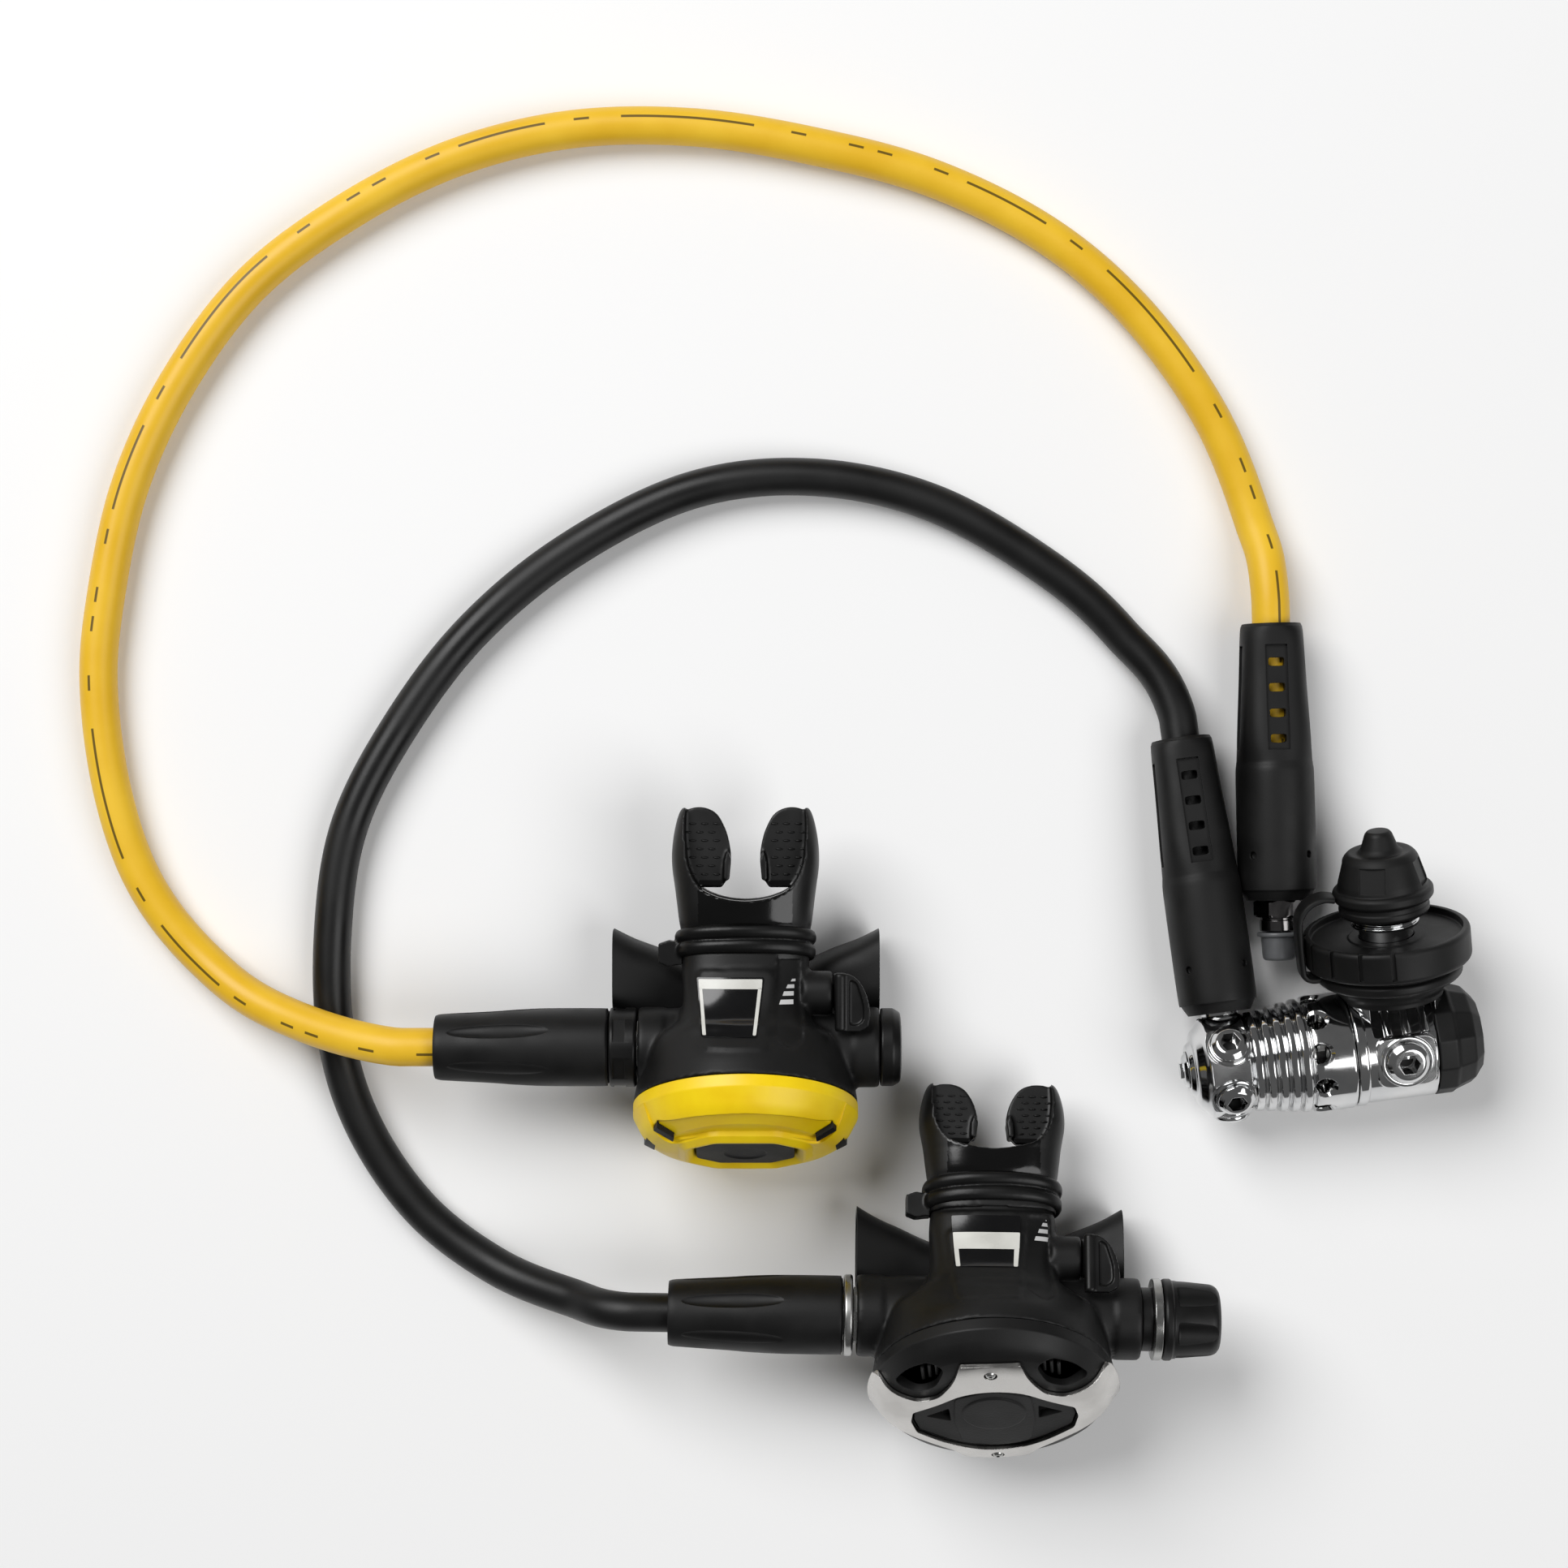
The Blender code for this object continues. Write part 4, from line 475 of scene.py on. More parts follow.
def softSkin(piece, voxel, rounds):
    # one skin over everything, its inner corners filled as a mould leaves them
    skin = piece.modifiers.new("skin", "REMESH")
    skin.mode = "VOXEL"
    skin.voxel_size = voxel * mm
    ease = piece.modifiers.new("ease", "SMOOTH")
    ease.factor = 0.5
    ease.iterations = rounds
    return baked(piece)


def finished(piece, body, slotName, material, nodes=(), angle=32.0, where=None):
    if where is not None:
        piece.data.transform(where)
    piece.data.materials.clear()
    piece.data.materials.append(material)
    for polygon in piece.data.polygons:
        polygon.material_index = 0
    piece.data.shade_smooth()
    piece.data.set_sharp_from_angle(angle=math.radians(angle))
    if angle < 45:   # the wide faces set the shading, so that flats show flat
        even = piece.modifiers.new("even", "WEIGHTED_NORMAL")
        even.keep_sharp = True
        baked(piece)
    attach(piece, body)
    if nodes:
        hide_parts(*nodes)
    return piece


def makeTree(name, sockets):
    # an empty geometry tree with a mesh in, a mesh out and named sizes
    tree = bpy.data.node_groups.new(name, "GeometryNodeTree")
    tree.interface.new_socket("Geometry", in_out="INPUT", socket_type="NodeSocketGeometry")
    tree.interface.new_socket("Geometry", in_out="OUTPUT", socket_type="NodeSocketGeometry")
    for label, kind in sockets:
        tree.interface.new_socket(label, in_out="INPUT", socket_type=kind)
    inputs = tree.nodes.new("NodeGroupInput")
    return tree, {socket.name: socket for socket in inputs.outputs if socket.name}


def closeTree(tree, geometry, material):
    real = addNode(tree, "GeometryNodeRealizeInstances", None, {0: geometry})
    painted = addNode(tree, "GeometryNodeSetMaterial", None, {0: real, "Material": material})
    addNode(tree, "NodeGroupOutput", None, {0: painted})


def runTree(piece, tree, values):
    step = piece.modifiers.new(tree.name, "NODES")
    step.node_group = tree
    for item in tree.interface.items_tree:
        if item.in_out == "INPUT" and item.name in values:
            step[item.identifier] = values[item.name]
    return baked(piece)


def roundRepeatTree():
    # turns copies of the given piece about Z
    tree, inputs = makeTree("repeatRound", [
        ("Count", "NodeSocketInt"), ("Step", "NodeSocketFloat"), ("First", "NodeSocketFloat"),
        ("Material", "NodeSocketMaterial")])
    places = addNode(tree, "GeometryNodePoints", None, {"Count": inputs["Count"]})
    number = addNode(tree, "GeometryNodeInputIndex")
    angle = addNode(tree, "ShaderNodeMath", {"operation": "MULTIPLY_ADD"},
                    {0: number, 1: inputs["Step"], 2: inputs["First"]})
    turn = addNode(tree, "ShaderNodeCombineXYZ", None, {2: angle})
    copies = addNode(tree, "GeometryNodeInstanceOnPoints", None,
                     {"Points": places, "Instance": inputs["Geometry"], "Rotation": turn})
    closeTree(tree, copies, inputs["Material"])
    return tree


def threadTree():
    # sweeps a small V profile along a spiral, as a thread is cut
    tree, inputs = makeTree("cutThread", [
        ("Turns", "NodeSocketFloat"), ("Radius", "NodeSocketFloat"),
        ("Length", "NodeSocketFloat"), ("Height", "NodeSocketFloat"),
        ("Sides", "NodeSocketInt"), ("Material", "NodeSocketMaterial")])
    spiral = addNode(tree, "GeometryNodeCurveSpiral", {"Resolution": 64},
                     {"Rotations": inputs["Turns"], "Start Radius": inputs["Radius"],
                      "End Radius": inputs["Radius"], "Height": inputs["Length"]})
    upright = addNode(tree, "GeometryNodeSetCurveNormal", {"mode": "Z_UP"}, {"Curve": spiral})
    profile = addNode(tree, "GeometryNodeCurvePrimitiveCircle", None,
                      {"Resolution": inputs["Sides"], "Radius": inputs["Height"]})
    swept = addNode(tree, "GeometryNodeCurveToMesh", {"Fill Caps": True},
                    {"Curve": upright, "Profile Curve": profile})
    closeTree(tree, swept, inputs["Material"])
    return tree


def nubTree():
    # stands a nub on every point of the given mesh, all turned the same way
    tree, inputs = makeTree("standNubs", [
        ("Long", "NodeSocketFloat"), ("Wide", "NodeSocketFloat"), ("High", "NodeSocketFloat"),
        ("Material", "NodeSocketMaterial")])
    ball = addNode(tree, "GeometryNodeMeshUVSphere", {"Segments": 10, "Rings": 6, "Radius": 1.0})
    size = addNode(tree, "ShaderNodeCombineXYZ", None,
                   {0: inputs["Long"], 1: inputs["Wide"], 2: inputs["High"]})
    stood = addNode(tree, "GeometryNodeInstanceOnPoints", None,
                    {"Points": inputs["Geometry"], "Instance": ball, "Scale": size})
    closeTree(tree, stood, inputs["Material"])
    return tree


repeatRound, cutThread, standNubs = roundRepeatTree(), threadTree(), nubTree()


def roundRow(name, bm, count, step, first, material):
    # copies of one small shape round the Z axis, made one mesh
    return runTree(asObject(name, bm), repeatRound, {
        "Count": count, "Step": math.radians(step), "First": math.radians(first),
        "Material": material})


def asMesh(piece):   # takes a made piece apart again, to use it as a cutter
    bm = bmesh.new()
    bm.from_mesh(piece.data)
    bpy.data.objects.remove(piece)
    return bm


def evenly(line, gap):   # the same line with its points one gap apart
    result, left = [line[0]], gap
    for a, b in zip(line, line[1:]):
        while (b - a).length > left:
            a = a + (b - a).normalized() * left
            result.append(a)
            left = gap
        left -= (b - a).length
    return result + [line[-1]] if left < gap * 0.6 else result[:-1] + [line[-1]]


def hosePath(start, enter, route, leave, end):
    # straight inside its sleeves, one smooth curve between them; ends in metres
    rows = [list(start / mm), list(enter / mm), *route, list(leave / mm), list(end / mm)]
    steps = 16
    bent = eased(rows, steps)[steps:steps * (len(rows) - 2) + 1]
    line = [start.lerp(enter, k / 24) for k in range(24)] + [Vector(p) * mm for p in bent]
    return evenly(line + [leave.lerp(end, (k + 1) / 24) for k in range(24)], 2.5 * mm)


def hoseTube(name, line, diameter, sides=48):
    # the map runs along in millimetres, and round from the underside in millimetres
    bm = bmesh.new()
    wrap = bm.loops.layers.uv.new("hoseMap")
    rings, along = [], [0.0]
    for k, point in enumerate(line):
        ahead = (line[min(k + 1, len(line) - 1)] - line[max(k - 1, 0)]).normalized()
        left = Vector((0, 0, 1)).cross(ahead).normalized()
        up = ahead.cross(left)
        if k:
            along.append(along[-1] + (point - line[k - 1]).length / mm)
        rings.append([bm.verts.new(point + (left * math.sin(a) - up * math.cos(a))
                                   * diameter / 2)
                      for a in (math.tau * n / sides for n in range(sides))])
    arc = math.pi * diameter / mm / sides
    for k in range(len(line) - 1):
        for n in range(sides):
            m = (n + 1) % sides
            face = bm.faces.new((rings[k][n], rings[k][m], rings[k + 1][m], rings[k + 1][n]))
            marks = ((along[k], n * arc), (along[k], (n + 1) * arc),
                     (along[k + 1], (n + 1) * arc), (along[k + 1], n * arc))
            for loop, mark in zip(face.loops, marks):
                loop[wrap].uv = mark
    bm.faces.new(rings[0][::-1])
    bm.faces.new(rings[-1])
    return asObject(name, bm)


def lineLength(line):
    return sum((b - a).length for a, b in zip(line, line[1:]))


# hoses: the route of each is the solid model's own
hoseDiameter = 12.9
blackHose = {
    "route": [(33.7, 168.8, 7), (8.7, 191, 7), (-30.3, 213.3, 7), (-72, 222.2, 7),
              (-113.8, 217.5, 7), (-155.5, 196.6, 7), (-188.9, 168.8, 7), (-214, 135.4, 7),
              (-230.7, 102, 7), (-236.2, 65.8, 7), (-234.9, 29.6, 7), (-225.1, -1, 7),
              (-205.6, -28.8, 8), (-179.5, -47.5, 13), (-153.5, -56, 25)],
    "sleeve": (32.3, 102.94), "farSleeve": (-120.7, -70.5)}
yellowHose = {
    "route": [(-254.2, 40, 17.5), (-280.5, 57.5, 8.5), (-300.3, 82.5, 7),
              (-311.4, 113.1, 7), (-316.4, 149.3, 7), (-314.2, 179.9, 7), (-305.8, 218.9, 7),
              (-289.1, 255, 7), (-264.1, 288.4, 7), (-230.7, 313.5, 7), (-194.5, 331.6, 7),
              (-155.5, 341.3, 7), (-113.8, 342.2, 7), (-72, 335.8, 7), (-30.3, 324.6, 7),
              (8.7, 305.1, 7), (39.3, 278.7, 7), (64.3, 243.9, 7), (79, 208, 7)],
    "sleeve": (-60.4, -116.6), "farSleeve": (112.34, 32.3)}

portFrame = stageFlat @ move(x=-57.5) @ spin(-94.5, "X") @ move(z=16.6)
blackLine = hosePath(*(portFrame @ spot(0, 0, z) for z in blackHose["sleeve"]),
                     blackHose["route"],
                     *(primaryFlat @ spot(x, 0, 0) for x in blackHose["farSleeve"]))
yellowLine = hosePath(*(octopusFlat @ spot(x, 0, 0) for x in yellowHose["sleeve"]),
                      yellowHose["route"],
                      *(looseFrame @ spot(0, 0, z) for z in yellowHose["farSleeve"]))
blackTube = finished(hoseTube("black_hose_cover", blackLine, hoseDiameter * mm), "hose_set",
                     "black_hose", blackCover, ["black_hose"], 60)
yellowTube = finished(hoseTube("yellow_hose_cover", yellowLine, hoseDiameter * mm), "hose_set",
                      "yellow_hose", yellowCover, ["yellow_hose"], 60)
print("hoses laid: %.3f m and %.3f m" % (lineLength(blackLine), lineLength(yellowLine)))


def windowBars(size, rows, pitch, first, turn):
    # round-cornered bars that go through a sleeve from side to side, one for each window
    bars = gathered(lofted([oval((0, y, first - pitch * k), (1, 0, 0), (0, 0, 1),
                                 size[0] / 2, size[1] / 2, 5.0, 32) for y in (-20, 20)])
                    for k in range(rows))
    bars.transform(spin(turn, "Z"))
    return bars


# long sleeves at the first stage's end: heights from the open end at the fitting
longSleeve = {
    "outline": [(10.6, 0), (12.6, 3.6), (13.3, 7), (13.3, 40), (13.0, 46), (12.6, 50),
                (11.3, 73), (10.5, 91), (10.3, 93), (9.9, 94)],
    "bore": 6.9, "socket": 8.8, "mouth": (0.5, 93.2, 95), "squareFrom": 47, "power": 2.7,
    "track": (7.4, 0.55, 50.5, 86.0), "window": (5.4, 2.9), "pitch": 8.65, "first": 80.8,
    "dimple": 1.3, "dimpleAt": 15.5}


def boredSleeve(sleeve, s, node, where, socketDepth):
    flare, narrow, end = s["mouth"]
    hole = [(0, -1), (s["socket"] + flare, -1), (s["socket"], 0.6), (s["socket"], socketDepth),
            (s["bore"], socketDepth + 2), (s["bore"], narrow), (s["bore"] + flare, end),
            (0, end)]
    combine(sleeve, turned(hole, 64, 0.2))
    return finished(sleeve, "hose_set", "black_rubber", sleeveRubber, [node], 35, where)


def makeLongSleeve(name, node, where, socketDepth):
    s = longSleeve
    rows = eased([[r, z] for r, z in s["outline"]], 4)
    rings = []
    for radius, height in rows:
        square = max(0.0, min(1.0, (height - s["squareFrom"]) / 10))
        square *= max(0.0, min(1.0, (93.5 - height) / 3))
        rings.append(oval((0, 0, height), (1, 0, 0), (0, 1, 0), radius, radius,
                          2.0 + (s["power"] - 2.0) * square, 96))
    sleeve = asObject(name, lofted(rings))
    wide, deep, low, high = s["track"]
    for turn in (0, 90, 180, 270):   # shallow tracks that the windows stand in
        lean = math.degrees(math.atan2(12.6 - 10.6, 38))
        track = block((-wide / 2, 11.85 - deep, low - 50), (wide / 2, 16, high - 50))
        track.transform(spin(turn, "Z") @ move(z=50) @ spin(lean, "X"))
        combine(sleeve, track)
        combine(sleeve, rod(s["dimple"], -1, 1, 24, 0.1),
                spin(turn + 45, "Z") @ move(12.9, 0, s["dimpleAt"]) @ toX)
    for turn in (0, 90):
        combine(sleeve, windowBars(s["window"], 4, s["pitch"], s["first"], turn))
    return boredSleeve(sleeve, s, node, where, socketDepth)


shortSleeve = {
    "outline": [(12.0, 0), (12.7, 0.9), (13.0, 2.2), (13.0, 20), (12.6, 31), (12.1, 38),
                (11.3, 52), (11.0, 56.4), (10.5, 58)],
    "bore": 6.9, "socket": 8.8, "mouth": (0.4, 57.4, 59), "flutes": 6,
    "flute": (1.1, 2.6, 17.5), "fluteAt": 36.0}


def makeShortSleeve(name, node, where, socketDepth):
    s = shortSleeve
    rings = [oval((0, 0, z), (1, 0, 0), (0, 1, 0), r, r, 2.0, 96)
             for r, z in eased([list(p) for p in s["outline"]], 4)]
    sleeve = asObject(name, lofted(rings))
    flute = bmesh.new()   # a leaf-shaped hollow pressed into the side
    bmesh.ops.create_uvsphere(flute, u_segments=24, v_segments=16, radius=1.0)
    flute.transform(Matrix.Diagonal((*(v * mm for v in s["flute"]), 1.0)))
    flute.transform(move(12.3, 0, s["fluteAt"]) @ spin(-3.5, "Y"))
    flutes = roundRow("flutes", flute, s["flutes"], 360 / s["flutes"], 30, sleeveRubber)
    combine(sleeve, asMesh(flutes))
    return boredSleeve(sleeve, s, node, where, socketDepth)


blackSleeve = makeLongSleeve("black_hose_sleeve", "black_hose_protector",
                             portFrame @ move(z=1.2), 31.6)
yellowSleeve = makeLongSleeve("yellow_hose_sleeve", "yellow_hose_protector",
                              looseFrame @ move(z=10.6), 22.2)
primarySleeve = makeShortSleeve("primary_hose_sleeve", "primary_hose_protector",
                                primaryFlat @ move(x=-49.8) @ toMinusX, 20.8)
octopusSleeve = makeShortSleeve("octopus_hose_sleeve", "octopus_hose_protector",
                                octopusFlat @ move(x=-45.7) @ toMinusX, 14.8)


def stepped(rows, sides=72):
    # rows of (radius, height); a third number is a hexagon's flats, cut down to the radius
    rings = []
    for radius, height, *flats in rows:
        ring = []
        for k in range(sides):
            a = math.tau * k / sides
            reach = radius
            if flats:
                reach = min(radius, flats[0] / 2 / math.cos(a % (math.tau / 6) - math.tau / 12))
            ring.append(spot(reach * math.cos(a), reach * math.sin(a), height))
        rings.append(ring)
    return lofted(rings)


hoseEnd = {
    "thread": [(-8.4 + 1.06 * k + dz, r) for k in range(8)
               for dz, r in ((0.0, 4.0), (0.3, 4.5), (0.5, 4.5), (0.8, 4.0))],
    "rest": [(4.2, -0.1), (6.1, 0), (6.35, 0.3), (6.35, 3.6), (6.05, 3.9), (6.05, 4.5),
             (6.9, 4.7), (7.3, 4.75, 14.4), (8.4, 5.5, 14.4), (8.4, 9.9, 14.4),
             (7.3, 10.65, 14.4), (6.6, 10.8), (7.5, 11.1), (7.9, 11.6), (7.9, 31.2),
             (7.4, 32.0)]}


def makeHoseEnd(name, node, where, slotName, metal):
    rows = [(r, z) for z, r in hoseEnd["thread"]] + hoseEnd["rest"]
    end = asObject(name, stepped(rows))
    combine(end, turned([(0, -10), (2.4, -10), (2.2, -8), (2.2, 20), (0, 20)], 32, 0.1))
    return finished(end, "hose_set", slotName, metal, [node], 30, where)


makeHoseEnd("black_hose_end", "black_hose_fitting", portFrame, "chrome", brightChrome)
yellowEnd = makeHoseEnd("yellow_hose_end", "yellow_hose_fitting", looseFrame, "dark_chrome",
                        smokedChrome)

dustCap = {"outline": [(4.8, -0.4, 0.1), (7.1, -0.4, 0.2), (7.3, -0.9, 0.2), (7.3, -1.7, 0.2),
                       (5.95, -2.1, 0.3), (5.75, -7.4, 0.3), (5.45, -9.4, 0.5),
                       (4.6, -10.0, 0.4), (0, -10.0), (0, -9.1), (4.5, -9.1, 0.3)]}
capPiece = finished(asObject("dust_cap", turned(dustCap["outline"], 64)), "fitting_cap",
                    "clear_plastic", capPlastic, ["fitting_dust_cap"], 35, looseFrame)

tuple(blackLine[0])
round(lineLength(blackLine), 3)
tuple(yellowLine[0])
round(lineLength(yellowLine), 3)
print("hose ends and sleeves made")


# first stage: heights run along its axis, or out of a port
turret = {
    "outline": [(4.9, -70.2, 0.1), (5.4, -71.0, 0.1), (8.2, -71.0, 0.3), (9.1, -69.9, 0.4),
                (9.6, -69.3, 0.3), (11.9, -69.0, 0.4), (12.9, -68.4, 0.3), (15.0, -66.3, 0.4),
                (15.7, -65.8, 0.3), (16.9, -65.0, 0.3), (17.5, -64.0, 0.5),
                (17.5, -51.9, 0.2), (17.2, -51.6, 0.1), (4.9, -51.6, 0.1)],
    "portAt": -57.5, "ports": (94.5, 28.5, -37.5, -103.5), "flats": (61.5, -4.5, -70.5),
    "flatHeight": 16.75,
    "boss": [(4.9, 10), (7.3, 10), (7.3, 16.1, 0.2), (6.7, 16.6, 0.15), (4.9, 16.6)]}

piece = asObject("turret_shell", turned(turret["outline"], 120), toX)
for angle in turret["flats"]:
    pad = raised([(-64.6, -8), (-64.6, 8), (-51, 8), (-51, -8)], turret["flatHeight"], 24)
    combine(piece, pad, spin(-angle, "X"))
for angle in turret["ports"]:
    port = move(x=turret["portAt"]) @ spin(-angle, "X")
    combine(piece, turned([(0, 16.0), (8.0, 16.0, 0.3), (8.9, 17.4, 0.3), (8.9, 24), (0, 24)],
                          64, 0.2), port)
    join(piece, turned(turret["boss"], 64, 0.0), port)
    combine(piece, rod(4.8, 6, 24, 48), port)
finished(piece, "hose_set", "chrome", brightChrome, ["turret"], 28, stageFlat)

plug = {"head": 6.25, "high": 3.0, "shank": 4.5, "flats": 5.9}
gaugePlug = {"head": 7.1, "high": 2.8, "shank": 4.5, "flats": 6.4}


def makePlug(name, node, body, size, where):
    head, high = size["head"], size["high"]
    piece = asObject(name, turned([
        (0, -7), (size["shank"], -7, 0.2), (size["shank"], 0.1, 0.1), (head - 0.3, 0.1, 0.1),
        (head, 0.5, 0.2), (head, high - 1.6, 0.3), (head - 1.5, high - 0.2, 0.3),
        (head - 2.2, high, 0.2), (0, high)], 72))
    combine(piece, stepped([(9, -4.0, size["flats"]), (9, high + 1, size["flats"])]))
    # a black disc deep in the hexagon: painted shade, since the real floor is chromed and dark
    # only from shadow
    shade = rod(2.5, -4.3, -2.9, 36)
    finished(asObject(name + "_socket", shade), body, "black_plastic", caseNylon, (), 35, where)
    return finished(piece, body, "chrome", brightChrome, [node], 28, where)


for k, angle in enumerate(turret["ports"][1:]):
    seat = stageFlat @ move(x=turret["portAt"]) @ spin(-angle, "X") @ move(z=16.6)
    makePlug("port_plug_%d" % (k + 1), "lp_plug_%d" % (k + 1), "hose_set", plug, seat)
makePlug("end_port_plug", "turret_end_plug", "hose_set",
         {"head": 6.3, "high": 1.6, "shank": 4.5, "flats": 5.0},
         stageFlat @ move(x=-71.0) @ toMinusX)

chamber = {"fins": 5, "firstFin": -50.3, "pitch": 3.9, "crest": (16.9, 19.3), "deep": 2.3,
           "holes": 10, "holeStep": 36, "firstHole": 17, "holeAt": -27.9}
outline = [(14.0, -51.3, 0.1), (15.3, -51.3, 0.3)]
for k in range(chamber["fins"]):
    start = chamber["firstFin"] + chamber["pitch"] * k
    crest = chamber["crest"][0] + (chamber["crest"][1] - chamber["crest"][0]) * k / 4
    outline += [(crest - chamber["deep"], start, 0.45), (crest - 0.2, start + 0.35, 0.7),
                (crest, start + 2.9, 0.8), (crest - chamber["deep"] + 0.7, start + 3.25, 0.45)]
outline += [(17.9, -30.7, 0.3), (19.5, -30.2, 0.5), (19.8, -28.6, 0.8), (19.8, -17.4, 0.3),
            (19.4, -16.6, 0.2), (14.0, -16.5, 0.1)]
piece = asObject("fin_chamber", turned(outline, 120))
drill = turned([(0, 11), (3.0, 11), (3.0, 18.4, 0.1), (4.3, 19.8, 0.1), (4.3, 23), (0, 23)],
               40, 0.1)
drill.transform(toX)
drills = roundRow("drills", drill, chamber["holes"], chamber["holeStep"],
                  chamber["firstHole"], brightChrome)
combine(piece, asMesh(drills), move(z=chamber["holeAt"]))
finished(piece, "first_stage", "chrome", brightChrome, ["ambient_cap"], 28, stageFrame @ toX)

mainBody = {
    "outline": [(0, -16.2), (19.2, -16.2, 0.2), (19.6, -15.7, 0.3), (19.6, -13.2, 0.3),
                (19.3, -12.7, 0.1), (18.9, -12.5, 0.15), (18.9, 10.2, 0.3), (18.5, 10.8, 0.2),
                (0, 10.8)],
    "pad": (10.2, 8.9, 18.9),
    "disc": [(0, 12), (9.0, 12), (9.0, 19.1, 0.25), (8.6, 19.5, 0.2), (7.6, 19.5, 0.1),
             (7.4, 19.2, 0.1), (0, 19.2)],
    "panelTurn": 44, "panelFrom": -10.2, "ribs": 3, "ribStep": 6.2, "ribAt": -4.9,
    "saddle": 17.0}
piece = asObject("body_shell", turned(mainBody["outline"], 120), toX)
padLong, padWide, padTop = mainBody["pad"]
pad = lofted([oval((0, 0, z), (1, 0, 0), (0, 1, 0), padLong - r, padWide - r, 5)
              for z, r in ((6, 0), (padTop - 0.5, 0), (padTop, 0.4))])
join(piece, pad)
join(piece, turned(mainBody["disc"], 96))
combine(piece, rod(4.8, 4, 24, 48))
join(piece, rod(mainBody["saddle"], 0, 17.8, 96), toY)
panel = spin(-mainBody["panelTurn"], "X")
tray = raised([(mainBody["panelFrom"], -5.4), (12, -5.4, 0), (12, 6.4, 0),
               (mainBody["panelFrom"], 6.4)], 17.0, 30, 1.6)
combine(piece, tray, panel)
for k in range(mainBody["ribs"]):
    middle = mainBody["ribAt"] + mainBody["ribStep"] * k
    rib = lofted([oval((middle, y, 17.0), (1, 0, 0), (0, 0, 1), 1.5, 1.6, 2.2, 32)
                  for y in (-5.0, 6.2)])
    join(piece, rib, panel)
combine(piece, rod(9.2, 5, 24, 64), toY)
finished(piece, "first_stage", "chrome", brightChrome, ["main_body"], 28, stageFrame)
makePlug("gauge_plug", "gauge_port_plug", "first_stage", gaugePlug, stageFrame @ move(z=19.5))

endCover = {"sides": 12, "phase": 15, "outline": [
    (0, 11.1), (19.2, 11.1, 0), (19.15, 17.3, 0), (18.4, 18.2, 0), (16.4, 24.0, 0),
    (12.0, 27.6, 0), (0, 27.6)], "bevel": 0.7}
piece = asObject("end_cap_cover", turned(endCover["outline"], endCover["sides"], 0.0,
                                         math.radians(endCover["phase"])))
finished(bevelled(piece, endCover["bevel"], 3, 8), "first_stage", "black_rubber", sleeveRubber,
         ["end_cover"], 25, stageFrame @ toX)

connector = {"neck": 9.0, "core": 10.75, "crest": 0.62, "pitch": 1.814, "low": 42.4,
             "high": 62.0}
c = connector
piece = asObject("thread_connector", turned([
    (4.0, 5.6), (c["neck"], 5.6), (c["neck"], c["low"], 0.2), (11.3, c["low"] + 0.6, 0.2),
    (11.3, c["low"] + 1.6, 0.2), (c["core"], c["low"] + 2.0, 0.2), (c["core"], 60.6, 0.2),
    (9.9, c["high"], 0.2), (4.0, c["high"], 0.2)], 96))
thread = runTree(asObject("thread_ridge", bmesh.new()), cutThread, {
    "Turns": (c["high"] - c["low"] - 4.4) / c["pitch"], "Radius": (c["core"] + 0.1) * mm,
    "Length": (c["high"] - c["low"] - 4.4) * mm, "Height": c["crest"] * mm, "Sides": 4,
    "Material": brightChrome})
ridge = asMesh(thread)
ridge.transform(move(z=c["low"] + 2.6))
ridge.from_mesh(piece.data)
bpy.data.objects.remove(piece)
finished(asObject("thread_connector", ridge), "first_stage", "chrome", brightChrome,
         ["din_connector"], 30, stageFrame @ toY)

neckCover = {"outline": [(9.3, 17.9), (17.6, 17.9, 0.2), (17.6, 19.6, 0.6), (18.6, 21.2, 0.6),
                         (19.0, 22.4, 0.5), (19.0, 23.6, 0.3), (18.6, 24.0, 0.2), (9.3, 24.0)]}
piece = asObject("neck_sleeve", turned(neckCover["outline"], 96), toY)
combine(piece, rod(19.9, -30, 30, 96), toX)
combine(piece, rod(11.4, 0, 30, 72))
finished(piece, "first_stage", "black_rubber", sleeveRubber, ["din_neck_cover"], 35, stageFrame)

tether = {"outline": [(9.3, 24.3, 0.1), (23.3, 24.3, 0.5), (24.35, 25.3, 0.6),
                      (24.35, 27.5, 0.5), (23.5, 28.3, 0.3), (23.2, 28.6, 0.2),
                      (23.8, 29.1, 0.25), (23.7, 29.6, 0.2), (9.3, 29.6, 0.1)],
          "strap": [(-17.0, 54.0), (-20.6, 54.6), (-25.2, 53.2), (-28.4, 49.6),
                    (-29.4, 44.5), (-29.4, 32.0), (-28.9, 28.6), (-26.4, 27.0), (-21.3, 27.0)],
          "thick": 1.1, "wide": 4.5}
piece = asObject("cap_keeper", turned(tether["outline"], 96), toY)
line = eased([list(p) for p in tether["strap"]], 5)
rings = []
for k, point in enumerate(line):
    ahead = Vector(line[min(k + 1, len(line) - 1)]) - Vector(line[max(k - 1, 0)])
    side = Vector((-ahead.y, ahead.x, 0)).normalized()
    rings.append(oval((point[0], point[1], 0), (0, 0, 1), side, tether["wide"],
                      tether["thick"], 4.0, 28))
join(piece, lofted(rings))
finished(piece, "first_stage", "black_rubber", sleeveRubber, ["cap_tether"], 35, stageFrame)

